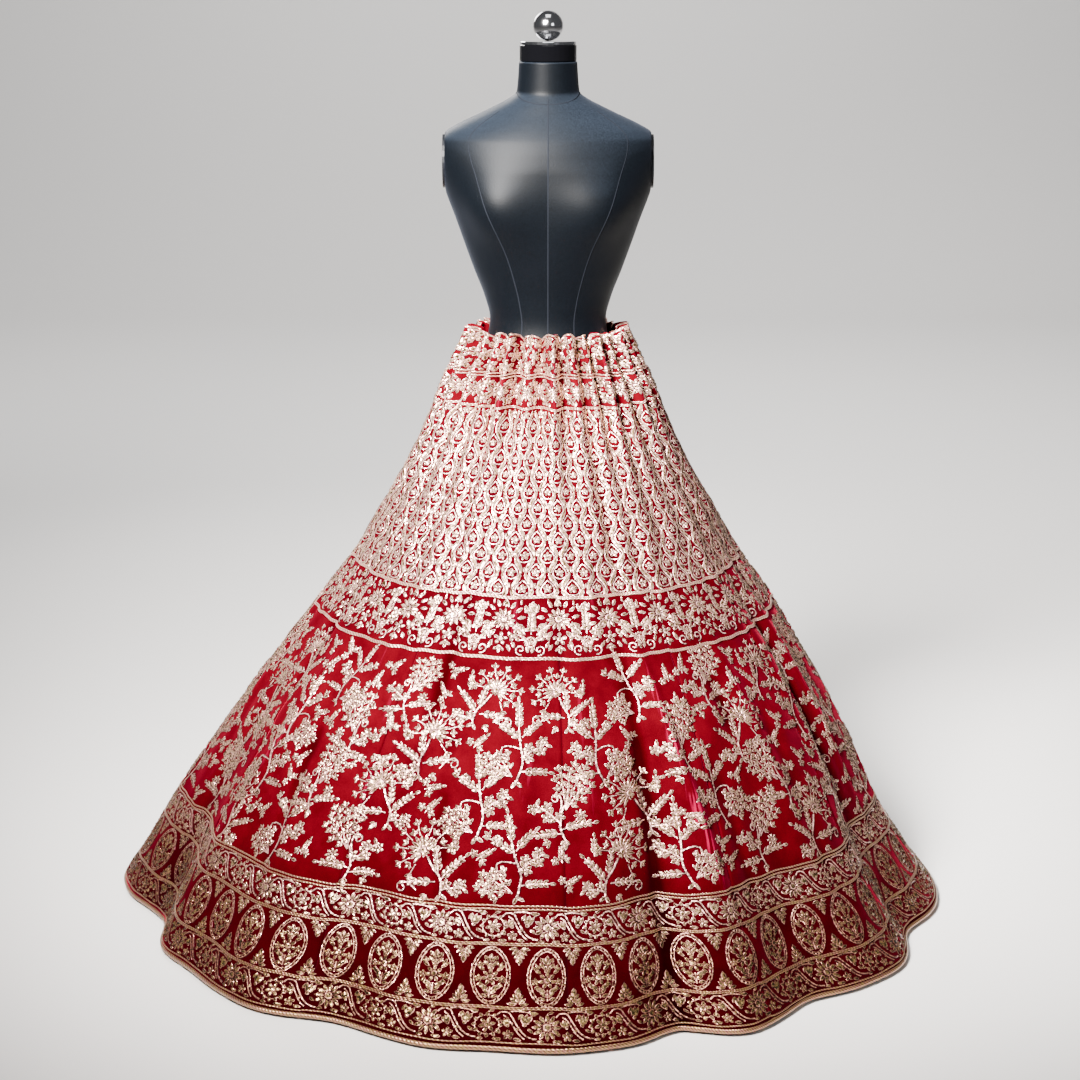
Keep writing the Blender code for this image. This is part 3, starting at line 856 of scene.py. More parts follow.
def lattice_cell(width, row):
    """A pointed window with a flower in it, and the two curved leaves that rise from its sides."""
    drawn = Motif()
    angles = np.linspace(0.0, 2.0 * np.pi, 17)
    # 0.77 is the drop's greatest half width before it is scaled
    drop = np.stack((np.sin(angles) * np.sin(0.5 * angles) / 0.77, -np.cos(angles)), 1)
    low = 0.06 * row
    window = drop * np.array((0.285 * width, -0.46 * row)) + np.array((0.0, low))
    drawn.cord(window[::-1], 0.0015, 0.5)
    drawn.add(blossom(0.192 * width), 0.0, low - 0.06 * row)
    lattice_blades(drawn, width, row, np.linspace(-0.04, 0.98, 7))
    drawn.leaf(0.0, -1.02 * row, 0.0, 0.36 * row, 0.30)
    return drawn


def heading_flower():
    """A full flower ringed with dots, with three leaves."""
    drawn = Motif()
    drawn.add(blossom(0.0122), 0.0, 0.0)
    drawn.beads(round_angles(5, 36.0), 0.0040, 0.0020)
    drawn.leafed(
        (0.0110, 0.0060, 62.0, 0.0095, 0.56),
        (-0.0110, -0.0050, -118.0, 0.0095, 0.56),
        (0.0040, -0.0120, 160.0, 0.0085, 0.56),
    )
    return drawn


def yoke_posy():
    """A rosette among six leaves."""
    drawn = rosette(0.0150, 11, 0.42, 0.30)
    drawn.petals((-146.0, -98.0, 98.0, 146.0, -34.0, 34.0), 0.0165, 0.0105, 0.56)
    return drawn


def band_posy():
    """A hanging bunch under a line: a wide flower over three roses among leaves."""
    drawn = Motif()
    small = rosette(0.0110, 5, 0.84, 0.36)
    drawn.holding(
        (tulip(0.0130), 0.0, -0.004, 180.0),
        (rosette(0.0200, 12, 0.40), 0.0, -0.034),
        (small, -0.0225, -0.060),
        (rosette(0.0115, 5, 0.84, 0.36), 0.0, -0.068),
        (small, 0.0225, -0.060),
        (floret(0.0125), -0.034, -0.018, -44.0),
        (floret(0.0125), 0.034, -0.018, 44.0),
        (floret(0.0115), 0.0, -0.082, 180.0),
    )
    angles = (-150.0, -108.0, -80.0, -52.0, -26.0, 26.0, 52.0, 80.0, 108.0, 150.0)
    drawn.petals(angles, 0.0225, 0.0130, 0.50, -0.034)
    for side in SIDES:
        drawn.leaf(side * 0.012, -0.076, side * 150.0, 0.0125)
        drawn.leaf(side * 0.034, -0.050, side * 84.0, 0.0115)
    return drawn


def band_volutes():
    """A pair of C-shaped curls standing on a line, crowned with leaves."""
    drawn = Motif()
    for side in SIDES:
        curl = spiral_points(side * 0.0165, 0.0120, 0.0100, 180.0 + side * 12.0, -side * 1.2, 20)
        drawn.cord(curl, 0.0026, 1.0)
        drawn.stem([(side * 0.004, 0.021), (side * 0.010, 0.030), (side * 0.020, 0.030)], 5, 0.0024, 0.9)
        for x, y, angle, length in (
            (0.003, 0.006, 14.0, 0.0150),
            (0.006, 0.027, 46.0, 0.0150),
            (0.027, 0.016, 24.0, 0.0130),
            (0.015, 0.034, 16.0, 0.0135),
        ):
            drawn.leaf(side * x, y, side * angle, length)
    return drawn.holding(
        (ringed_flower(0.0110), 0.0, 0.026),
        (wheat(0.040, 4, 0.0150), 0.0, 0.040),
        (wheat(0.026, 3, 0.0130, 0.004), 0.010, 0.040, 40.0),
        (wheat(0.026, 3, 0.0130, -0.004), -0.010, 0.040, -40.0),
        (rose(0.0075), 0.0, 0.092),
    )


# The vine's bay is drawn on a module of this pitch and height
VINE_PITCH = 0.077
VINE_HEIGHT = 0.054
# The cords of a bay: places, points, width, height
VINE_CORDS = (
    ([(0.0118, 0.0165), (0.019, 0.0232), (0.0262, 0.0225), (0.032, 0.0135), (0.0385, 0.0005),
      (0.0465, -0.0120), (0.0550, -0.0190), (0.0640, -0.0210)], 12, 0.0030, 1.0),
    ([(0.0205, 0.0170), (0.0265, 0.0125), (0.0330, 0.0005), (0.0405, -0.0130), (0.049, -0.0215)],
     8, 0.0024, 0.9),
    ([(0.028, 0.0235), (0.040, 0.0250), (0.054, 0.0225)], 5, 0.0024, 0.9),
)
# The leaves of a bay, along the vine and in the corners
VINE_LEAVES = (
    (0.0540, 0.0222, 92.0, 0.0125, 0.52),
    (0.0385, 0.0245, 74.0, 0.0105, 0.50),
    (0.0395, 0.0100, 30.0, 0.0115, 0.52),
    (0.0520, -0.0040, 126.0, 0.0100, 0.52),
    (0.0180, -0.0130, -64.0, 0.0090, 0.56),
    (0.0200, -0.0225, -96.0, 0.0120, 0.50),
    (0.0340, -0.0215, 98.0, 0.0120, 0.50),
    (0.0350, -0.0080, 64.0, 0.0085, 0.56),
    (-0.0150, 0.0185, -52.0, 0.0115, 0.52),
    (0.0010, 0.0225, 74.0, 0.0090, 0.52),
    (-0.0040, -0.0225, -92.0, 0.0100, 0.52),
    (0.0070, -0.0225, 90.0, 0.0100, 0.52),
)


def vine_bay(ringed):
    """A rosette and the double vine that arches from it down to the next, with leaves and roses."""
    drawn = Motif()
    drawn.holding(
        (ringed_flower(0.0205) if ringed else rosette(0.0215, 12, 0.46, 0.30), 0.0, 0.0),
        (tulip(0.0190), 0.0490, 0.0070, 10.0),
        (tulip(0.0145), 0.0250, 0.0030, -26.0),
        (blossom(0.0080), 0.0275, -0.0150),
    )
    for places, count, width, height in VINE_CORDS:
        drawn.stem(places, count, width, height)
    drawn.leafed(*VINE_LEAVES)
    return drawn


# The medallion is drawn on a module of this width and height, its ends pointed by a share
MEDALLION_WIDTH = 0.060
MEDALLION_HEIGHT = 0.092
MEDALLION_POINT = 0.16
# Leaves on each side of the plant inside
MEDALLION_LEAVES = (
    (0.0015, -0.0220, 66.0, 0.0190, 0.46),
    (0.0015, -0.0300, 42.0, 0.0150, 0.46),
    (0.0020, -0.0345, 70.0, 0.0120, 0.50),
    (0.0120, -0.0120, 122.0, 0.0095, 0.54),
    (0.0090, 0.0075, 58.0, 0.0125, 0.50),
    (0.0020, 0.0150, 50.0, 0.0125, 0.50),
    (0.0015, 0.0230, 42.0, 0.0105, 0.50),
    (0.0085, 0.0240, 10.0, 0.0080, 0.50),
)


def medallion():
    """An upright pointed oval of beaded cord with a flowering plant in it."""
    drawn = Motif()
    drawn.cord(ring_points(MEDALLION_WIDTH, MEDALLION_HEIGHT, 21, MEDALLION_POINT), 0.0019, 0.8)
    inner = ring_points(0.85 * MEDALLION_WIDTH, 0.90 * MEDALLION_HEIGHT, 19, MEDALLION_POINT)
    drawn.cord(inner, 0.0015, 0.7)
    # 53 places once round put the 26 beads on every second one, clear of the tip
    for x, y in ring_points(0.925 * MEDALLION_WIDTH, 0.95 * MEDALLION_HEIGHT, 53, MEDALLION_POINT)[1::2]:
        drawn.dot(x, y, 0.0016)
    drawn.cord([(0.0, -0.036), (0.0, -0.018)], 0.0024, 0.7)
    for side in SIDES:
        for x, y, angle, length, width in MEDALLION_LEAVES:
            drawn.leaf(side * x, y, side * angle, length, width)
        drawn.add(blossom(0.0062), side * 0.0180, -0.0055)
        drawn.add(floret(0.0088), side * 0.0145, 0.0140, side * 20.0)
    return drawn.holding(
        (rosette(0.0140, 7, 0.70, 0.34), 0.0, -0.0030),
        (rose(0.0060), 0.0, 0.0140),
        (bud(0.0140), 0.0, 0.0215),
    )


def standing_bud():
    """A bud among three pairs of leaves."""
    drawn = Motif()
    drawn.add(bud(0.0185), 0.0, 0.0130)
    drawn.dot(0.0, 0.0100, 0.0036)
    for side in SIDES:
        drawn.leafed(
            (side * 0.0015, 0.0040, side * 44.0, 0.0150, 0.50),
            (side * 0.0030, 0.0025, side * 78.0, 0.0140, 0.46),
            (side * 0.0015, 0.0110, side * 30.0, 0.0110, 0.46),
        )
    return drawn


# Motifs sewn on to the cloth


LEAF_ALONG = np.array((0.0, 0.30, 0.66, 1.0, 0.66, 0.30, 0.28, 0.72))
LEAF_ACROSS = np.array((0.0, 0.43, 0.42, 0.0, -0.42, -0.43, 0.0, 0.0))
LEAF_UP = np.array((0.0, 0.0, 0.0, 0.0, 0.0, 0.0, 1.0, 0.85))
LEAF_TONE = np.array((0.0, 0.0, 0.0, 0.0, 0.0, 0.0, 1.0, 1.0))
LEAF_FACES = np.array((
    (0, 6, 1), (1, 6, 7), (1, 7, 2), (2, 7, 3), (3, 7, 4), (4, 7, 6), (4, 6, 5), (5, 6, 0),
))
DOT_SIDES = 6


class Sewing:
    """Gathers placed motifs and makes them one raised mesh."""

    LABELS = ("x", "y", "up", "tone", "turn", "slope")

    def __init__(self):
        self.parts = {label: [] for label in self.LABELS}
        self.faces = []
        self.count = 0

    def keep(self, x, y, up, tone, turn, slope, faces, each):
        """x, y: (placed, shapes, points); faces index one shape's points."""
        starts = self.count + np.arange(x.shape[0] * x.shape[1]) * each
        self.faces.append((starts[:, None, None] + faces[None]).reshape(-1, 3))
        values = (x, y, up, tone, turn[:, None, None], slope[:, None, None])
        for label, value in zip(self.LABELS, values):
            self.parts[label].append(np.broadcast_to(value, x.shape).ravel())
        self.count += x.size

    def joined(self, label):
        return np.concatenate(self.parts[label])

    def place(self, motif, turn, slope, angle=0.0, scale=1.0, flip=False):
        """Sews a motif at each of many places."""
        turn = np.atleast_1d(np.asarray(turn, dtype=float))
        many = len(turn)
        slope = np.broadcast_to(np.asarray(slope, dtype=float), many)
        angle = np.radians(np.broadcast_to(np.asarray(angle, dtype=float), many))
        scale = np.broadcast_to(np.asarray(scale, dtype=float), many)
        side = np.where(np.broadcast_to(np.asarray(flip), many), -1.0, 1.0)
        cosine = np.cos(angle)[:, None, None]
        sine = np.sin(angle)[:, None, None]

        def placed(x, y):
            x = x[None] * side[:, None, None] * scale[:, None, None]
            y = y[None] * scale[:, None, None]
            return x * cosine + y * sine, -x * sine + y * cosine

        mirrored = side < 0.0
        for chosen, reverse in ((~mirrored, False), (mirrored, True)):
            if not chosen.any():
                continue
            self.sew(motif, placed, chosen, reverse, turn, slope)

    def sew(self, motif, placed, chosen, reverse, turn, slope):
        turn = turn[chosen]
        slope = slope[chosen]

        def facing(faces):
            return faces[:, ::-1] if reverse else faces

        # The margin widens each leaf, dot and cord; that widened rim carries the painted shadow round the
        # motif
        margin = settings().shadow_rim_margin
        if motif.leaves:
            rows = np.array(motif.leaves)
            sine = np.sin(rows[:, 2])[:, None]
            cosine = np.cos(rows[:, 2])[:, None]
            along = (rows[:, 3][:, None] + 2.0 * margin) * LEAF_ALONG[None] - margin
            across = (rows[:, 4][:, None] + 2.0 * margin) * LEAF_ACROSS[None]
            x = rows[:, 0][:, None] + along * sine + across * cosine
            y = rows[:, 1][:, None] + along * cosine - across * sine
            px, py = placed(x, y)
            self.keep(px[chosen], py[chosen], LEAF_UP, LEAF_TONE, turn, slope, facing(LEAF_FACES), 8)
        if motif.dots:
            rows = np.array(motif.dots)
            angles = 2.0 * np.pi * np.arange(DOT_SIDES) / DOT_SIDES
            reach = rows[:, 2][:, None] + margin
            x = rows[:, 0][:, None] + reach * np.append(np.sin(angles), 0.0)[None]
            y = rows[:, 1][:, None] + reach * np.append(np.cos(angles), 0.0)[None]
            up = np.append(np.full(DOT_SIDES, 0.35), 1.5)
            tone = np.append(np.full(DOT_SIDES, 0.04), 1.0)
            faces = np.array([(k, DOT_SIDES, (k + 1) % DOT_SIDES) for k in range(DOT_SIDES)])
            px, py = placed(x, y)
            self.keep(px[chosen], py[chosen], up, tone, turn, slope, facing(faces), DOT_SIDES + 1)
        for points, width, height, crest in motif.cords:
            run = np.gradient(points, axis=0)
            run /= np.linalg.norm(run, axis=1, keepdims=True) + 1e-12
            side = np.stack((run[:, 1], -run[:, 0]), 1)
            offsets = np.array((-0.5, 0.0, 0.5)) * (width + 2.0 * margin)[:, None]
            spots = points[:, None] + side[:, None] * offsets[:, :, None]
            count = len(points)
            x = spots[..., 0].reshape(1, -1)
            y = spots[..., 1].reshape(1, -1)
            up = np.tile((0.0, height, 0.0), count)
            tone = np.tile((0.0, crest, 0.0), count)
            base = np.arange(count - 1) * 3
            quads = []
            for k in (0, 1):
                a = base + k
                quads.append(np.stack((a, a + 3, a + 4), 1))
                quads.append(np.stack((a, a + 4, a + 1), 1))
            faces = np.concatenate(quads)
            px, py = placed(x, y)
            self.keep(px[chosen], py[chosen], up, tone, turn, slope, facing(faces), 3 * count)

    def finish(self, name, material):
        """Lays everything on the cloth as one mesh."""
        x, y, up, tone, anchor, slope = (self.joined(label) for label in self.LABELS)
        slope_here = np.clip(slope - y, 0.002, HEM_SLOPE - 0.001)
        turn = turn_of(anchor + x / round_length(np.clip(slope - 0.5 * y, 0.0, HEM_SLOPE)))
        points, normals, ridge = cloth_frame(turn, slope_here)
        relief = settings().relief
        points = points + normals * (up * relief + 0.00015)[:, None]
        faces = np.concatenate(self.faces)
        fall = np.clip(slope_here / HEM_SLOPE, 0.0, 1.0)
        # The ridge attribute lets the thread be painted darker in the troughs of the folds
        return mesh_object(
            name, points, faces, material, (("tone", tone), ("fall", fall), ("ridge", ridge)))


def fill_gaps(sewing, upper, lower, fillers, salt):
    """Sews small motifs wherever the ground between two slopes is still bare: (motif, reach)."""
    length = float(round_length(0.5 * (upper + lower)))
    columns = int(length / GAP_CELL)
    rows = int((lower - upper) / GAP_CELL)
    taken = np.zeros((columns, rows), dtype=bool)
    down = sewing.joined("slope") - sewing.joined("y")
    turn = sewing.joined("turn") + sewing.joined("x") / round_length(down)
    across = np.floor(turn * columns).astype(int) % columns
    along = np.floor((down - upper) / (lower - upper) * rows).astype(int)
    inside = (along >= 0) & (along < rows)
    taken[across[inside], along[inside]] = True
    total = columns * rows
    spread = (np.arange(total, dtype=np.int64) * SCATTER_STEP + salt * SCATTER_START) % total
    for kind, (motif, reach) in enumerate(fillers):
        span = int(round(reach / GAP_CELL))
        wide = np.concatenate((taken[-span:], taken, taken[:span]))
        summed = np.pad(np.cumsum(np.cumsum(wide, 0), 1), ((1, 0), (1, 0)))
        found = []
        for spot in spread:
            column, row = divmod(int(spot), rows)
            if row < span or row >= rows - span:
                continue
            left, right = column, column + 2 * span + 1
            top, bottom = row - span, row + span + 1
            if summed[right, bottom] - summed[left, bottom] - summed[right, top] + summed[left, top]:
                continue
            reached = np.arange(column - span, column + span + 1) % columns
            if taken[reached, top:bottom].any():
                continue
            taken[np.ix_(reached, np.arange(top, bottom))] = True
            found.append((column, row))
        if not found:
            continue
        spots = np.array(found, dtype=float) + 0.5
        index = np.arange(len(spots))
        sewing.place(
            motif, spots[:, 0] / columns, upper + spots[:, 1] * (lower - upper) / rows,
            70.0 * unevenness(index, salt + kind), 1.0 + 0.10 * unevenness(index, salt + kind + 7))


def unevenness(index, salt):
    """A steady value from -1 to 1 for each of many places, with no run to it."""
    value = np.sin(np.asarray(index, dtype=float) * 12.9898 + salt * 78.233) * 43758.5453
    return 2.0 * (value - np.floor(value)) - 1.0


def sewn(obj):
    return obj


# Materials


def node(tree, kind, **values):
    made = tree.nodes.new(kind)
    for name, value in values.items():
        setattr(made, name, value)
    return made


def new_material(name):
    found = bpy.data.materials.get(name)
    if found is not None:
        return found, None, None
    made = bpy.data.materials.new(name)
    made.use_nodes = True
    tree = made.node_tree
    return made, tree, tree.nodes["Principled BSDF"]


def sparkle_group():
    """Small facets of thread and spangles: a random mask that picks facets for painted shade or painted
    glint, a tint mask and a tilted normal.
    """
    found = bpy.data.node_groups.get("thread_sparkle")
    if found is not None:
        return found
    group = bpy.data.node_groups.new("thread_sparkle", "ShaderNodeTree")
    group.interface.new_socket("Scale", in_out="INPUT", socket_type="NodeSocketFloat").default_value = 400.0
    group.interface.new_socket("Tilt", in_out="INPUT", socket_type="NodeSocketFloat").default_value = 0.8
    group.interface.new_socket("Mask", in_out="OUTPUT", socket_type="NodeSocketFloat")
    group.interface.new_socket("Tint", in_out="OUTPUT", socket_type="NodeSocketFloat")
    group.interface.new_socket("Normal", in_out="OUTPUT", socket_type="NodeSocketVector")
    source = group.nodes.new("NodeGroupInput")
    target = group.nodes.new("NodeGroupOutput")
    place = group.nodes.new("ShaderNodeTexCoord")
    surface = group.nodes.new("ShaderNodeNewGeometry")
    cells = group.nodes.new("ShaderNodeTexVoronoi")
    split = group.nodes.new("ShaderNodeSeparateColor")
    centred = group.nodes.new("ShaderNodeVectorMath")
    centred.operation = "SUBTRACT"
    centred.inputs[1].default_value = (0.5, 0.5, 0.5)
    tilted = group.nodes.new("ShaderNodeVectorMath")
    tilted.operation = "SCALE"
    summed = group.nodes.new("ShaderNodeVectorMath")
    summed.operation = "ADD"
    level = group.nodes.new("ShaderNodeVectorMath")
    level.operation = "NORMALIZE"
    for start, end in (
        (place.outputs["Object"], cells.inputs["Vector"]),
        (source.outputs["Scale"], cells.inputs["Scale"]),
        (cells.outputs["Color"], split.inputs["Color"]),
        (split.outputs["Red"], target.inputs["Mask"]),
        (split.outputs["Green"], target.inputs["Tint"]),
        (cells.outputs["Color"], centred.inputs[0]),
        (centred.outputs["Vector"], tilted.inputs[0]),
        (source.outputs["Tilt"], tilted.inputs["Scale"]),
        (tilted.outputs["Vector"], summed.inputs[0]),
        (surface.outputs["Normal"], summed.inputs[1]),
        (summed.outputs["Vector"], level.inputs[0]),
        (level.outputs["Vector"], target.inputs["Normal"]),
    ):
        group.links.new(start, end)
    return group


def attribute(tree, name):
    made = tree.nodes.new("ShaderNodeAttribute")
    made.attribute_type = "GEOMETRY"
    made.attribute_name = name
    return made


def mix_colour(tree, factor, first, second, blend="MIX"):
    made = tree.nodes.new("ShaderNodeMix")
    made.data_type = "RGBA"
    made.blend_type = blend
    for socket, value in ((made.inputs[0], factor), (made.inputs[6], first), (made.inputs[7], second)):
        if isinstance(value, bpy.types.NodeSocket):
            tree.links.new(value, socket)
        elif isinstance(value, (int, float)):
            socket.default_value = value
        else:
            socket.default_value = (*value, 1.0) if len(value) == 3 else value
    return made.outputs[2]


def ramp(tree, value, stops):
    made = tree.nodes.new("ShaderNodeValToRGB")
    tree.links.new(value, made.inputs[0])
    elements = made.color_ramp.elements
    while len(elements) < len(stops):
        elements.new(0.5)
    for element, (position, shade) in zip(elements, stops):
        element.position = position
        element.color = (shade, shade, shade, 1.0)
    return made.outputs["Color"]


def velvet_material():
    """Crimson pile: painted shade dark in the folds, crushed in places, painted pink highlight streaks where
    it turns to the light, and painted lighter or darker band by band down the skirt.
    """
    made, tree, shader = new_material("crimson_velvet")
    if tree is None:
        return made
    given = settings()
    ridge = attribute(tree, "ridge")
    fall = attribute(tree, "fall")
    place = node(tree, "ShaderNodeTexCoord")
    crush = node(tree, "ShaderNodeTexNoise")
    crush.inputs["Scale"].default_value = 26.0
    crush.inputs["Detail"].default_value = 4.0
    crush.inputs["Roughness"].default_value = 0.6
    run = node(tree, "ShaderNodeUVMap", uv_map="Cloth")
    stretch = node(tree, "ShaderNodeMapping")
    stretch.inputs["Scale"].default_value = (150.0, 10.0, 1.0)
    streak = node(tree, "ShaderNodeTexNoise")
    streak.inputs["Scale"].default_value = 1.0
    streak.inputs["Detail"].default_value = 3.0
    tree.links.new(run.outputs["UV"], stretch.inputs["Vector"])
    tree.links.new(stretch.outputs["Vector"], streak.inputs["Vector"])
    nap = node(tree, "ShaderNodeTexNoise")
    nap.inputs["Scale"].default_value = 900.0
    nap.inputs["Detail"].default_value = 2.0
    tree.links.new(place.outputs["Object"], crush.inputs["Vector"])
    tree.links.new(place.outputs["Object"], nap.inputs["Vector"])
    # Painted shade and highlight from the ridge attribute: low fades the ground into the dark trough colour,
    # high lays the pink highlight on ridges
    low = ramp(tree, ridge.outputs["Fac"], ((0.04, 0.0), (0.42, 1.0)))
    high = ramp(tree, ridge.outputs["Fac"], ((0.78, 0.0), (1.0, 1.0)))
    crushed = ramp(tree, crush.outputs["Fac"], ((0.36, 0.78), (0.66, 1.15)))
    streaks = ramp(tree, streak.outputs["Fac"], ((0.50, 0.0), (0.58, 1.0)))
    ground = mix_colour(tree, low, tuple(given.velvet_trough_shade), tuple(given.velvet_colour))
    # Painted highlight: where ridges and streaks meet, the pink ridge colour is laid over the ground
    highlight_weight = mix_colour(tree, 1.0, high, streaks, "MULTIPLY")
    lit = mix_colour(tree, highlight_weight, ground, tuple(given.velvet_ridge_highlight))
    # Painted light and shade: the velvet is made lighter or darker band by band down the skirt, darkest
    # towards the hem
    down = ramp(tree, fall.outputs["Fac"], (
        (0.08, 0.64), (0.20, 0.38), (0.44, 0.39), (0.56, 0.66), (0.78, 0.56), (0.86, 0.29), (1.0, 0.21)))
    lit = mix_colour(tree, 1.0, lit, down, "MULTIPLY")
    lit = mix_colour(tree, 1.0, lit, crushed, "MULTIPLY")
    grain = ramp(tree, nap.outputs["Fac"], ((0.3, 0.78), (0.7, 1.16)))
    tree.links.new(mix_colour(tree, 1.0, lit, grain, "MULTIPLY"), shader.inputs["Base Color"])
    bump = node(tree, "ShaderNodeBump")
    bump.inputs["Strength"].default_value = 0.25
    bump.inputs["Distance"].default_value = 0.0008
    tree.links.new(nap.outputs["Fac"], bump.inputs["Height"])
    tree.links.new(bump.outputs["Normal"], shader.inputs["Normal"])
    shader.inputs["Roughness"].default_value = 0.72
    shader.inputs["Specular IOR Level"].default_value = 0.0
    shader.inputs["Sheen Weight"].default_value = given.pile_sheen
    shader.inputs["Sheen Roughness"].default_value = 0.35
    shader.inputs["Sheen Tint"].default_value = (1.0, 0.04, 0.12, 1.0)
    return made


def thread_material():
    """Metallic thread and spangles inside a cord outline, with painted shade on random facets, in the crevice
    inside the cord, in fold troughs and as a shadow rim round each motif, and partly painted light that makes
    it paler near the waist.
    """
    made, tree, shader = new_material("gold_thread")
    if tree is None:
        return made
    given = settings()
    tone = attribute(tree, "tone")
    fall = attribute(tree, "fall")
    glint = node(tree, "ShaderNodeGroup", node_tree=sparkle_group())
    glint.inputs["Scale"].default_value = 320.0
    glint.inputs["Tilt"].default_value = 0.6
    ridge = attribute(tree, "ridge")
    # Partly the thread's own tint, partly painted light: paler and brighter near the waist, darker towards
    # the hem
    down = ramp(tree, fall.outputs["Fac"], ((0.38, 0.0), (0.60, 0.24), (0.80, 0.38), (0.90, 1.0)))
    bright = mix_colour(tree, down, tuple(given.thread_upper_tint_and_light), tuple(given.thread_lower_tint_and_shade))
    # Painted shade and glints: random facets take the dark colour as if turned away from the light, the rest
    # the bright colour
    shade = mix_colour(tree, down, (0.060, 0.034, 0.011), tuple(given.thread_shade))
    facets = ramp(tree, glint.outputs["Mask"], ((0.50, 0.0), (0.62, 1.0)))
    fill = mix_colour(tree, facets, shade, bright)
    rim = mix_colour(tree, down, tuple(given.cord_upper_tint_and_light), tuple(given.cord_lower_tint_and_shade))
    pale = mix_colour(tree, 0.25, rim, bright)
    twist = ramp(tree, glint.outputs["Tint"], ((0.15, 0.62), (0.6, 1.25)))
    pale = mix_colour(tree, 1.0, pale, twist, "MULTIPLY")
    inside = ramp(tree, tone.outputs["Fac"], ((0.46, 0.0), (0.54, 1.0)))
    colour = mix_colour(tree, inside, pale, fill)
    # Painted shade: a thin dark line in the crevice between the outline cord and the fill
    crevice_shade = ramp(tree, tone.outputs["Fac"], ((0.44, 1.0), (0.54, 0.15), (0.66, 1.0)))
    colour = mix_colour(tree, 1.0, colour, crevice_shade, "MULTIPLY")
    # Painted shade: thread lying in the troughs of folds and gathers is made darker
    deep = ramp(tree, ridge.outputs["Fac"], ((0.0, 0.60), (0.30, 1.0)))
    colour = mix_colour(tree, 1.0, colour, deep, "MULTIPLY")
    # Painted shadow: the motif's lowest rim, widened by the margin, takes the dark rim colour
    painted_shadow_rim = ramp(tree, tone.outputs["Fac"], ((0.20, 0.0), (0.28, 1.0)))
    colour = mix_colour(tree, painted_shadow_rim, tuple(given.motif_shadow_rim_colour), colour)
    tree.links.new(colour, shader.inputs["Base Color"])
    tree.links.new(glint.outputs["Normal"], shader.inputs["Normal"])
    polish = ramp(tree, glint.outputs["Mask"], ((0.55, 0.46), (0.85, 0.20)))
    tree.links.new(polish, shader.inputs["Roughness"])
    shader.inputs["Metallic"].default_value = 0.85
    return made


def braid_material():
    """The gold lines and the piping: cord with a tight twist, painted darker in the grooves between strands
    and lighter on their crowns, and partly painted light down the skirt.
    """
    made, tree, shader = new_material("twisted_gold_cord")
    if tree is None:
        return made
    given = settings()
    coordinates = node(tree, "ShaderNodeUVMap", uv_map="Cloth")
    twist = node(tree, "ShaderNodeTexWave", wave_type="BANDS", bands_direction="DIAGONAL")
    twist.inputs["Scale"].default_value = 105.0
    twist.inputs["Distortion"].default_value = 1.2
    tree.links.new(coordinates.outputs["UV"], twist.inputs["Vector"])
    glint = node(tree, "ShaderNodeGroup", node_tree=sparkle_group())
    glint.inputs["Scale"].default_value = 330.0
    fall = attribute(tree, "fall")
    # Partly the thread's own tint, partly painted light: paler near the waist, darker towards the hem
    down = ramp(tree, fall.outputs["Fac"], ((0.36, 0.0), (0.90, 1.0)))
    colour = mix_colour(tree, down, tuple(given.thread_upper_tint_and_light), tuple(given.thread_lower_tint_and_shade))
    pink = mix_colour(tree, down, tuple(given.cord_upper_tint_and_light), tuple(given.cord_lower_tint_and_shade))
    colour = mix_colour(tree, glint.outputs["Tint"], colour, pink)
    # Painted shade and highlight along the twist: darker in the grooves between strands, lighter on their
    # crowns
    shade = ramp(tree, twist.outputs["Fac"], ((0.12, 0.42), (0.85, 1.12)))
    tree.links.new(mix_colour(tree, 1.0, colour, shade, "MULTIPLY"), shader.inputs["Base Color"])
    bump = node(tree, "ShaderNodeBump")
    bump.inputs["Strength"].default_value = 0.9
    bump.inputs["Distance"].default_value = 0.0007
    tree.links.new(twist.outputs["Fac"], bump.inputs["Height"])
    tree.links.new(bump.outputs["Normal"], shader.inputs["Normal"])
    shader.inputs["Metallic"].default_value = 0.8
    shader.inputs["Roughness"].default_value = 0.28
    return made


def plain_material(name, colour, roughness, metallic=0.0, specular=0.5):
    made, tree, shader = new_material(name)
    if tree is None:
        return made
    shader.inputs["Base Color"].default_value = (*colour, 1.0)
    shader.inputs["Roughness"].default_value = roughness
    shader.inputs["Metallic"].default_value = metallic
    shader.inputs["Specular IOR Level"].default_value = specular
    return made


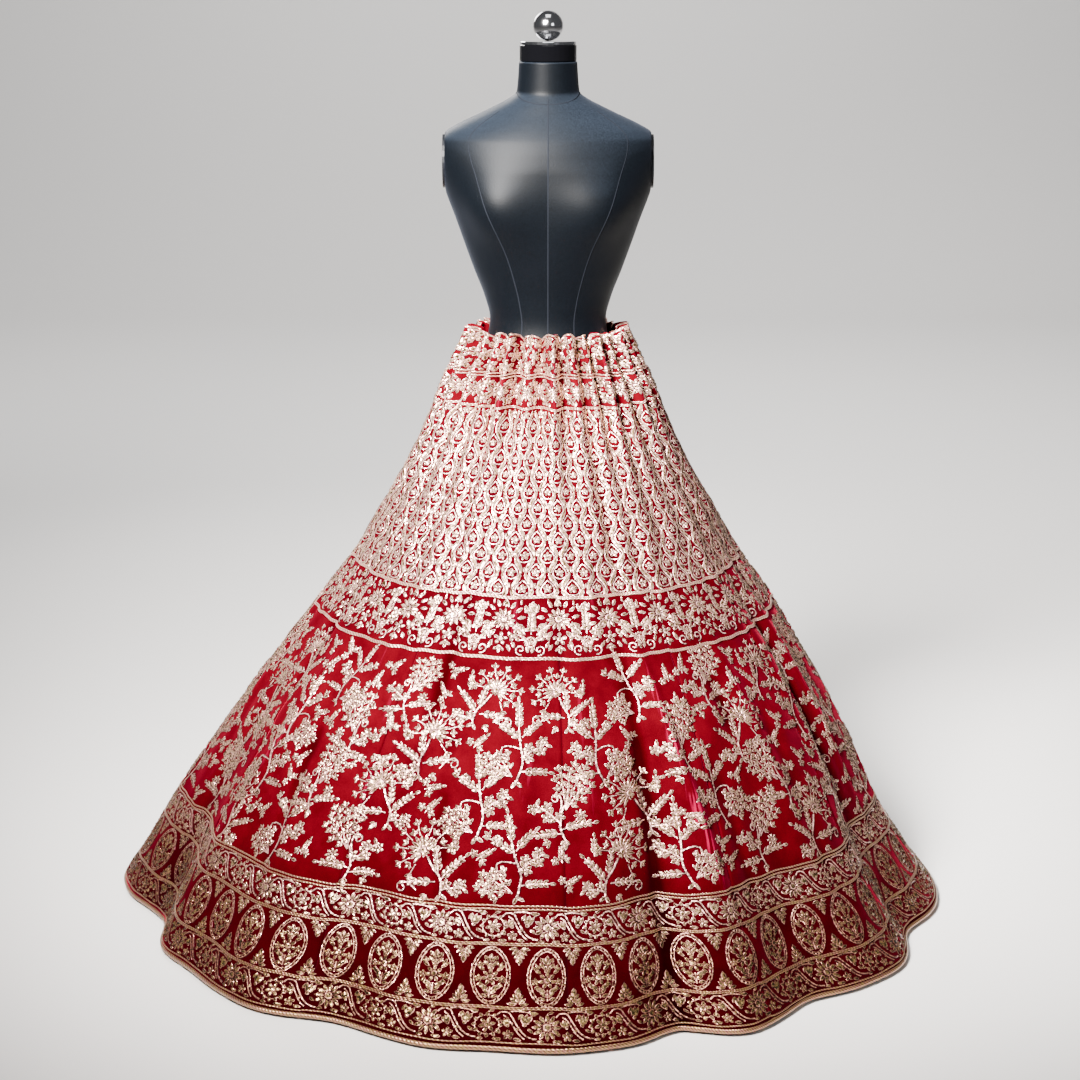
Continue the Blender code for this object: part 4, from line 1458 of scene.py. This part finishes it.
def form_material():
    """The form's black cover, with painted light: lighter where it faces up, as if lit from above."""
    made, tree, shader = new_material("black_form_cover")
    if tree is None:
        return made
    place = node(tree, "ShaderNodeTexCoord")
    weave = node(tree, "ShaderNodeTexNoise")
    weave.inputs["Scale"].default_value = 420.0
    weave.inputs["Detail"].default_value = 3.0
    tree.links.new(place.outputs["Object"], weave.inputs["Vector"])
    shade = ramp(tree, weave.outputs["Fac"], ((0.3, 0.7), (0.7, 1.3)))
    surface = node(tree, "ShaderNodeNewGeometry")
    facing = node(tree, "ShaderNodeSeparateXYZ")
    tree.links.new(surface.outputs["Normal"], facing.inputs["Vector"])
    # Painted light: the cover's colour runs from the darker upright shade to the lighter top colour as its
    # surface turns up; nap here carries that painted light
    painted_top_light = ramp(tree, facing.outputs["Z"], ((0.20, 0.0), (0.80, 1.0)))
    nap = mix_colour(tree, painted_top_light, tuple(settings().form_colour), tuple(settings().form_top_light))
    colour = mix_colour(tree, 1.0, nap, shade, "MULTIPLY")
    tree.links.new(colour, shader.inputs["Base Color"])
    bump = node(tree, "ShaderNodeBump")
    bump.inputs["Strength"].default_value = 0.25
    bump.inputs["Distance"].default_value = 0.0006
    tree.links.new(weave.outputs["Fac"], bump.inputs["Height"])
    tree.links.new(bump.outputs["Normal"], shader.inputs["Normal"])
    shader.inputs["Roughness"].default_value = 0.46
    shader.inputs["Specular IOR Level"].default_value = 0.06
    shader.inputs["Sheen Weight"].default_value = 0.02
    shader.inputs["Sheen Roughness"].default_value = 0.4
    shader.inputs["Sheen Tint"].default_value = (0.6, 0.7, 1.0, 1.0)
    return made


# Pieces


def ring_cord(name, lines, material, sides=5, segments=720):
    """Round cords once round the skirt: (slope, radius, height of its middle over the cloth)."""
    points = []
    faces = []
    uv = []
    falls = []
    start = 0
    for slope, radius, over in lines:
        turn = np.arange(segments + 1) / segments
        kali = np.minimum((turn * KALI_COUNT).astype(int), KALI_COUNT - 1)
        kali[-1] = 0
        step = np.array(JOGS)[kali] if slope < HEM_SLOPE - 0.004 else 0.0
        wander = 0.0006 * np.sin(2.0 * np.pi * 23.0 * turn) + 0.0005 * np.sin(2.0 * np.pi * 57.0 * turn + 1.0)
        here = np.clip(slope + step + wander, 0.0, HEM_SLOPE)
        middle, normal, _ = cloth_frame(turn, here)
        middle = middle + normal * over
        run = np.roll(middle[:-1], -1, axis=0) - np.roll(middle[:-1], 1, axis=0)
        run = np.concatenate((run, run[:1]))
        run /= np.linalg.norm(run, axis=1, keepdims=True)
        down = np.cross(run, normal)
        for k in range(sides + 1):
            angle = 2.0 * np.pi * k / sides
            points.append(middle + (normal * math.sin(angle) + down * math.cos(angle)) * radius)
            along = turn * float(round_length(slope))
            uv.append(np.stack((along, np.full_like(turn, 2.0 * radius * np.pi * k / sides)), 1))
            falls.append(np.full(segments + 1, slope / HEM_SLOPE))
        a = start + np.arange(segments)
        for k in range(sides):
            low = a + k * (segments + 1)
            top = low + segments + 1
            faces.append(np.stack((low, top + 1, top), 1))
            faces.append(np.stack((low, low + 1, top + 1), 1))
        start += (sides + 1) * (segments + 1)
    return mesh_object(
        name, np.concatenate(points), np.concatenate(faces), material,
        (("fall", np.concatenate(falls)),), np.concatenate(uv))


def hem_piping(number, material):
    """One of four strips of round piping bound under the hem."""
    first = (number - 1) / 4.0
    turn = np.linspace(first + 0.00004, first + 0.25 - 0.00004, 181)
    sides = 10
    slope = np.full_like(turn, HEM_SLOPE)
    edge, normal, _ = cloth_frame(turn, slope)
    normal[:, 2] = 0.0
    normal /= np.linalg.norm(normal, axis=1, keepdims=True)
    middle = edge - normal * 0.001
    middle[:, 2] -= 0.0036
    up = np.array((0.0, 0.0, 1.0))
    rings = []
    uv = []
    for k in range(sides + 1):
        angle = 2.0 * np.pi * k / sides
        rings.append(middle + (normal * math.sin(angle) - up * math.cos(angle)) * 0.0042)
        uv.append(np.stack((turn * 4.7, np.full_like(turn, 0.026 * k / sides)), 1))
    points = np.stack(rings, 1).reshape(-1, 3)
    places = np.stack(uv, 1).reshape(-1, 2)
    faces = grid_triangles(len(turn), sides + 1)[:, ::-1]
    made = mesh_object(
        "hem_piping_%d_cord" % number, points, faces, material,
        (("fall", np.full(len(points), 1.0)),), places)
    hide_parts("hem_piping_%d" % number)
    return sewn(made)


def torso_points(height, angle):
    """Places on the form, its bust included, cut flat at the armholes."""
    half_width = smooth_table(TORSO_SECTIONS[:, 0], TORSO_SECTIONS[:, 1], height)
    half_depth = smooth_table(TORSO_SECTIONS[:, 0], TORSO_SECTIONS[:, 2], height)
    lean_x = np.sin(angle) / half_width
    lean_y = -np.cos(angle) / half_depth
    size = np.hypot(lean_x, lean_y)
    degrees = np.abs((np.degrees(angle) + 180.0) % 360.0 - 180.0)
    rise = BUST_RISE * np.exp(-(((degrees - BUST_DIRECTION) / BUST_HALF_WIDTH) ** 2))
    rise = rise * np.exp(-(((height - BUST_HEIGHT) / BUST_HALF_HEIGHT) ** 2))
    x = half_width * np.sin(angle) + lean_x / size * rise
    y = -half_depth * np.cos(angle) + lean_y / size * rise
    return np.stack((np.clip(x, -ARM_PLANE, ARM_PLANE), y, height), axis=-1)


class LEHENGA_OT_skirt(bpy.types.Operator):
    """Make the velvet panels and the gathered waist casing"""

    bl_idname = "lehenga.skirt"
    bl_label = "Velvet skirt"

    def execute(self, context):
        material = velvet_material()
        slopes = np.concatenate((np.linspace(JOIN_SLOPE, 0.46, 50), np.linspace(0.46, HEM_SLOPE, 64)[1:]))
        for number in range(KALI_COUNT):
            label = "kali_%02d" % (number + 1)
            first = number / KALI_COUNT
            made = cloth_piece(label + "_velvet", first, first + 1.0 / KALI_COUNT, 49, slopes, material, True)
            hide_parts(label)
        heading = np.linspace(0.0, JOIN_SLOPE, 16)
        for label, first in (("waist_casing_left", 0.0), ("waist_casing_right", 0.5)):
            made = cloth_piece(label + "_velvet", first, first + 0.5, 289, heading, material, False)
            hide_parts(label)
        return {"FINISHED"}


class LEHENGA_OT_lines(bpy.types.Operator):
    """Make the gold lines and the hem's piping"""

    bl_idname = "lehenga.lines"
    bl_label = "Gold lines"

    def execute(self, context):
        material = braid_material()
        sewn(ring_cord("lines_waist", (
            (0.0012, 0.0016, 0.0006),
            (LINE_CASING - 0.0028, 0.0014, 0.0010),
            (LINE_CASING + 0.0028, 0.0014, 0.0010),
            (LINE_YOKE - 0.0012, 0.0010, 0.0008),
            (LINE_YOKE + 0.0012, 0.0010, 0.0008),
        ), material))
        sewn(ring_cord("lines_middle", (
            (LINE_LATTICE - 0.0014, 0.0013, 0.0008),
            (LINE_LATTICE + 0.0014, 0.0013, 0.0008),
            (LINE_BAND - 0.0014, 0.0013, 0.0008),
            (LINE_BAND + 0.0014, 0.0013, 0.0008),
        ), material))
        sewn(ring_cord("lines_border", (
            (LINE_BORDER - 0.0028, 0.0015, 0.0010),
            (LINE_BORDER + 0.0028, 0.0015, 0.0010),
            (LINE_VINE - 0.0014, 0.0012, 0.0008),
            (LINE_VINE + 0.0014, 0.0012, 0.0008),
            (LINE_MEDALLION - 0.0014, 0.0012, 0.0008),
            (LINE_MEDALLION + 0.0014, 0.0012, 0.0008),
            (HEM_SLOPE - 0.0055, 0.0012, 0.0008),
        ), material))
        for number in (1, 2, 3, 4):
            hem_piping(number, material)
        return {"FINISHED"}


def heading_embroidery():
    """Three rows of full flowers on the ruffle, and posies in the yoke band under it."""
    sewing = Sewing()
    flower = heading_flower()
    index = np.arange(HEADING_FLOWERS)
    for row, slope in enumerate((0.0115, 0.0335, 0.0555)):
        turn = (index + 0.5 * (row % 2) + 0.08 * unevenness(index, row + 1)) / HEADING_FLOWERS
        spin = 60.0 * unevenness(index, row + 4)
        sewing.place(flower, turn, slope + 0.0015 * unevenness(index, row + 7), spin, 0.94)
    index = np.arange(YOKE_POSIES)
    sewing.place(yoke_posy(), (index + 0.3) / YOKE_POSIES, 0.0975, 20.0 * unevenness(index, 5))
    for slope in (0.0840, 0.1120):
        sewing.place(blossom(0.0100), (index + 0.8) / YOKE_POSIES, slope)
    fill_gaps(sewing, LINE_CASING + 0.004, LINE_YOKE - 0.003, ((rose(0.0055), 0.0060),), 21)
    sewn(sewing.finish("embroidery_heading", thread_material()))


def lattice_embroidery():
    """Rows of pointed windows, each row half a window out of step with the last."""
    pitch = (LINE_LATTICE - LINE_YOKE - 0.006) / (LATTICE_ROWS + 0.45)
    index = np.arange(LATTICE_COLUMNS)

    def row_slope(row):
        return LINE_YOKE + 0.003 + (row + 1.0) * pitch

    def cell_width(row):
        return float(round_length(row_slope(row))) / LATTICE_COLUMNS

    def places(row):
        return (index + 0.5 * (row % 2)) / LATTICE_COLUMNS

    for part, chosen in (("upper", range(0, 6)), ("lower", range(6, LATTICE_ROWS))):
        sewing = Sewing()
        for row in chosen:
            cell = lattice_cell(cell_width(row), pitch)
            sewing.place(
                cell, places(row), row_slope(row), 4.0 * unevenness(index, 80 + row),
                1.0 + 0.03 * unevenness(index, 95 + row))
        if part == "upper":
            sewing.place(blossom(0.0080), places(1), LINE_YOKE + 0.0105)
        else:
            tips = Motif()
            lattice_blades(tips, cell_width(LATTICE_ROWS), pitch, np.linspace(0.5, 0.98, 4))
            sewing.place(tips, places(LATTICE_ROWS), row_slope(LATTICE_ROWS))
        sewn(sewing.finish("embroidery_lattice_" + part, thread_material()))


class LEHENGA_OT_yoke(bpy.types.Operator):
    """Embroider the heading, the yoke band and the lattice"""

    bl_idname = "lehenga.yoke"
    bl_label = "Yoke and lattice"

    def execute(self, context):
        heading_embroidery()
        lattice_embroidery()
        return {"FINISHED"}


class LEHENGA_OT_band(bpy.types.Operator):
    """Embroider the band of hanging bunches and curls"""

    bl_idname = "lehenga.band"
    bl_label = "Flower band"

    def execute(self, context):
        sewing = Sewing()
        index = np.arange(BAND_POSIES)
        turn = index / BAND_POSIES
        sewing.place(
            band_posy(), turn + 0.2 / BAND_POSIES, LINE_LATTICE + 0.004, 4.0 * unevenness(index, 8))
        sewing.place(
            band_volutes(), turn + 0.7 / BAND_POSIES, LINE_BAND - 0.005, 3.0 * unevenness(index, 9), 0.94)
        fillers = ((floret(0.0105), 0.0090), (rose(0.0058), 0.0055))
        fill_gaps(sewing, LINE_LATTICE + 0.003, LINE_BAND - 0.003, fillers, 31)
        sewn(sewing.finish("embroidery_band", thread_material()))
        return {"FINISHED"}


class LEHENGA_OT_field(bpy.types.Operator):
    """Embroider the open field with bouquets, sprays and sprigs"""

    bl_idname = "lehenga.field"
    bl_label = "Field bouquets"

    def execute(self, context):
        kinds = (bouquet_fan(), bouquet_spray(), bouquet_round())
        material = thread_material()
        upper = LINE_BAND + 0.003
        fillers = ((sprig(), 0.0140),)
        for number, (slope, count, start, size) in enumerate(FIELD_ROWS):
            sewing = Sewing()
            index = np.arange(count)
            seed = index + 50 * number
            turn = (index + start + 0.08 * unevenness(seed, 10)) / count
            foot = slope + 0.006 * unevenness(seed, 11)
            angle = 14.0 * unevenness(seed, 12)
            scale = size + 0.06 * unevenness(seed, 13)
            flip = unevenness(seed, 14) > 0.0
            for kind, motif in enumerate(kinds):
                chosen = (index + number) % 3 == kind
                sewing.place(motif, turn[chosen], foot[chosen], angle[chosen], scale[chosen], flip[chosen])
            lower = slope + 0.005 if number < len(FIELD_ROWS) - 1 else LINE_BORDER - 0.005
            fill_gaps(sewing, upper, lower, fillers, 41 + 10 * number)
            upper = lower
            sewn(sewing.finish("embroidery_field_%d" % (number + 1), material))
        return {"FINISHED"}


def panel_jog(turn):
    """How far the panel at each turn is out of step."""
    return np.array(JOGS)[(turn * KALI_COUNT).astype(int) % KALI_COUNT]


def vine_embroidery(label, upper, lower, salt):
    """A vine between two slopes, plain and ringed bays in turn, with small motifs in its gaps."""
    index = np.arange(BORDER_BAYS)
    middle = 0.5 * (upper + lower)
    pitch = float(round_length(middle)) / BORDER_BAYS
    sewing = Sewing()
    for kind in (0, 1):
        turn = index[index % 2 == kind] / BORDER_BAYS
        drawn = vine_bay(kind == 1).scaled(pitch / VINE_PITCH, (lower - upper) / VINE_HEIGHT)
        sewing.place(drawn, turn, middle + panel_jog(turn))
    fill_gaps(sewing, upper, lower, ((leaf_pair(0.0085), 0.0060), (rose(0.0042), 0.0042)), salt)
    sewn(sewing.finish("embroidery_vine_" + label, thread_material()))


def medallion_embroidery():
    """A row of medallions with buds between their tips."""
    turn = np.arange(BORDER_BAYS) / BORDER_BAYS
    between = (np.arange(BORDER_BAYS) + 0.5) / BORDER_BAYS
    jog = panel_jog(turn)
    middle = 0.5 * (LINE_VINE + LINE_MEDALLION)
    tall = (LINE_MEDALLION - LINE_VINE - 0.008) / MEDALLION_HEIGHT
    wide = 0.70 * float(round_length(middle)) / BORDER_BAYS / MEDALLION_WIDTH
    sewing = Sewing()
    sewing.place(medallion().scaled(wide, tall), turn, middle + jog)
    sewing.place(standing_bud(), between, LINE_MEDALLION - 0.003 + jog)
    sewing.place(standing_bud(), between, LINE_VINE + 0.003 + jog, 180.0, 0.94)
    sewn(sewing.finish("embroidery_medallions", thread_material()))


class LEHENGA_OT_borders(bpy.types.Operator):
    """Embroider the two vines and the medallions"""

    bl_idname = "lehenga.borders"
    bl_label = "Borders"

    def execute(self, context):
        vine_embroidery("upper", LINE_BORDER + 0.004, LINE_VINE - 0.002, 61)
        vine_embroidery("lower", LINE_MEDALLION + 0.002, HEM_SLOPE - 0.007, 71)
        medallion_embroidery()
        return {"FINISHED"}


def torso_cover():
    """The padded torso and neck, closed at top and bottom."""
    heights = np.concatenate((np.linspace(0.790, 1.30, 70), np.linspace(1.30, 1.486, 60)[1:]))
    angles = np.linspace(0.0, 2.0 * np.pi, 121)
    angle, height = np.meshgrid(angles, heights[::-1], indexing="ij")
    points = torso_points(height, angle).reshape(-1, 3)
    rows = len(heights)
    top = len(points)
    points = np.concatenate((points, ((0.0, 0.0, heights[-1]), (0.0, 0.0, heights[0]))))
    column = np.arange(len(angles) - 1) * rows
    faces = np.concatenate((
        grid_triangles(len(angles), rows),
        np.stack((column, column + rows, np.full_like(column, top)), 1),
        np.stack((column + rows - 1, np.full_like(column, top + 1), column + 2 * rows - 1), 1),
    ))
    made = mesh_object("form_torso_cover", points, faces, form_material())
    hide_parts("form_torso")


def seam_lines():
    """Angles and heights of the seams: front and back middle, four princess lines and the neck."""
    share = np.linspace(0.0, 1.0, 60)
    for degrees in (0.0, 180.0):
        yield np.full(60, math.radians(degrees)), np.linspace(1.0, 1.425, 60)
    for side in SIDES:
        for base, top in ((26.0, 52.0), (154.0, 128.0)):
            yield side * np.radians(base + (top - base) * share ** 2.2), 1.0 + 0.405 * share
    ring = np.linspace(0.0, 2.0 * np.pi, 97)
    yield ring, 1.4165 + 0.0175 * np.sin(ring) ** 2


def form_seams():
    """Low ridges of thread along the seams."""
    points = []
    faces = []
    start = 0
    for angle, height in seam_lines():
        middle = torso_points(height, angle)
        lean = np.stack((np.sin(angle), -np.cos(angle), 0.0 * angle), 1)
        run = np.gradient(middle, axis=0)
        run /= np.linalg.norm(run, axis=1, keepdims=True)
        side = np.cross(run, lean)
        side /= np.linalg.norm(side, axis=1, keepdims=True)
        strip = np.stack((middle - side * 0.0011, middle + lean * 0.0007, middle + side * 0.0011), 1)
        points.append(strip.reshape(-1, 3))
        base = start + np.arange(len(angle) - 1) * 3
        for k in (0, 1):
            faces.append(np.stack((base + k, base + k + 4, base + k + 3), 1))
            faces.append(np.stack((base + k, base + k + 1, base + k + 4), 1))
        start += 3 * len(angle)
    thread = plain_material("black_seam_thread", (0.0060, 0.0070, 0.0095), 0.7, 0.0, 0.03)
    made = mesh_object("form_seams", np.concatenate(points), np.concatenate(faces), thread)


def finish_solid(label, material):
    """Gives one of the form's hard parts its finish, flat where its edges are sharp."""
    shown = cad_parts[label]
    shown.data.materials.clear()
    shown.data.materials.append(material)
    for face in shown.data.polygons:
        face.use_smooth = True
    smooth = shown.modifiers.new("edges", "EDGE_SPLIT")
    smooth.split_angle = math.radians(38.0)


def polished_ball(steel):
    """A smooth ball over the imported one."""
    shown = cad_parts["form_ball"]
    corners = np.array([tuple(shown.matrix_world @ vertex.co) for vertex in shown.data.vertices])
    low, high = corners.min(axis=0), corners.max(axis=0)
    around, down = np.meshgrid(
        np.linspace(0.0, 2.0 * np.pi, 65), np.linspace(0.0, np.pi, 33), indexing="ij")
    ball = np.stack((np.sin(around) * np.sin(down), -np.cos(around) * np.sin(down), np.cos(down)), -1)
    points = 0.5 * (low + high) + 0.5 * float((high - low).max()) * ball.reshape(-1, 3)
    made = mesh_object("form_ball_polished", points, grid_triangles(65, 33), steel)
    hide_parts("form_ball")


class LEHENGA_OT_form(bpy.types.Operator):
    """Cover the dress form and finish its cap, ball and stand"""

    bl_idname = "lehenga.form"
    bl_label = "Dress form"

    def execute(self, context):
        torso_cover()
        form_seams()
        steel = plain_material("polished_steel", (0.55, 0.55, 0.57), 0.12, 1.0)
        plate = plain_material("black_plate", (0.004, 0.0045, 0.006), 0.40, 0.0, 0.2)
        gloss = plain_material("black_gloss", (0.0014, 0.0014, 0.0018), 0.08, 0.0, 0.16)
        finish_solid("form_neck_cap", gloss)
        finish_solid("form_arm_plate_left", plate)
        finish_solid("form_arm_plate_right", plate)
        finish_solid("form_cap_plate", steel)
        finish_solid("stand_pole", plain_material("satin_steel", (0.62, 0.62, 0.64), 0.28, 1.0))
        finish_solid("stand_foot", plain_material("satin_black_paint", (0.02, 0.02, 0.022), 0.4))
        polished_ball(steel)
        return {"FINISHED"}


class LEHENGA_OT_stage(bpy.types.Operator):
    """Lay the floor and set the lights and the camera"""

    bl_idname = "lehenga.stage"
    bl_label = "Stage"

    def execute(self, context):
        scene = context.scene
        bend = np.linspace(0.06, 1.0, 18) * np.pi / 2
        depths = np.concatenate((
            np.linspace(FLOOR_FRONT, FLOOR_BACK, 16), FLOOR_BACK + SWEEP_RADIUS * np.sin(bend),
            (FLOOR_BACK + SWEEP_RADIUS,)))
        rises = np.concatenate((np.zeros(16), SWEEP_RADIUS * (1.0 - np.cos(bend)), (WALL_TOP,)))
        points = [(x, y, z) for x in (-FLOOR_ACROSS, FLOOR_ACROSS) for y, z in zip(depths, rises)]
        count = len(depths)
        mesh = bpy.data.meshes.new("floor")
        mesh.from_pydata(points, [], [(k, count + k, count + k + 1, k + 1) for k in range(count - 1)])
        for face in mesh.polygons:
            face.use_smooth = True
        floor = bpy.data.objects.new("floor", mesh)
        scene.collection.objects.link(floor)
        mesh.materials.append(plain_material("floor_pale", tuple(settings().floor_colour), 0.55))
        for name, place, aim, size, power, spread, colour in LIGHTS:
            data = bpy.data.lights.new(name, "AREA")
            data.shape = "SQUARE"
            data.size = size
            data.energy = power
            data.spread = math.radians(spread)
            data.color = colour
            lamp = bpy.data.objects.new(name, data)
            lamp.location = place
            away = np.array(aim) - np.array(place)
            flat = math.hypot(away[0], away[1])
            lamp.rotation_euler = (
                math.atan2(flat, -away[2]),
                0.0,
                math.atan2(-away[0], away[1]),
            )
            scene.collection.objects.link(lamp)
        world = scene.world or bpy.data.worlds.new("studio")
        scene.world = world
        world.use_nodes = True
        background = world.node_tree.nodes["Background"]
        background.inputs["Color"].default_value = WORLD_COLOUR
        background.inputs["Strength"].default_value = WORLD_STRENGTH
        data = bpy.data.cameras.new("camera")
        data.sensor_width = 36.0
        data.lens = CAMERA_FOCAL / PICTURE * data.sensor_width
        camera = bpy.data.objects.new("camera", data)
        camera.location = (0.0, -CAMERA_BACK, CAMERA_UP)
        camera.rotation_euler = (
            math.radians(90.0 - CAMERA_TILT),
            0.0,
            math.atan(CAMERA_ASIDE / CAMERA_FOCAL),
        )
        scene.collection.objects.link(camera)
        scene.camera = camera
        return {"FINISHED"}


class LEHENGA_PT_panel(bpy.types.Panel):
    bl_label = "Lehenga"
    bl_idname = "LEHENGA_PT_panel"
    bl_space_type = "VIEW_3D"
    bl_region_type = "UI"
    bl_category = "Lehenga"

    def draw(self, context):
        for name in LehengaSettings.__annotations__:
            self.layout.prop(context.scene.lehenga, name)
        for step in STEPS:
            self.layout.operator(step.bl_idname)


STEPS = (
    LEHENGA_OT_skirt,
    LEHENGA_OT_lines,
    LEHENGA_OT_yoke,
    LEHENGA_OT_band,
    LEHENGA_OT_field,
    LEHENGA_OT_borders,
    LEHENGA_OT_form,
    LEHENGA_OT_stage,
)
CLASSES = (LehengaSettings, *STEPS, LEHENGA_PT_panel)


def register():
    for kind in CLASSES:
        bpy.utils.register_class(kind)
    bpy.types.Scene.lehenga = bpy.props.PointerProperty(type=LehengaSettings)


def unregister():
    del bpy.types.Scene.lehenga
    for kind in reversed(CLASSES):
        bpy.utils.unregister_class(kind)


def main():
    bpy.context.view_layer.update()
    register()
    bpy.ops.lehenga.skirt()
    bpy.ops.lehenga.lines()
    bpy.ops.lehenga.yoke()
    bpy.ops.lehenga.band()
    bpy.ops.lehenga.field()
    bpy.ops.lehenga.borders()
    bpy.ops.lehenga.form()
    bpy.ops.lehenga.stage()


if __name__ == "__main__":
    main()
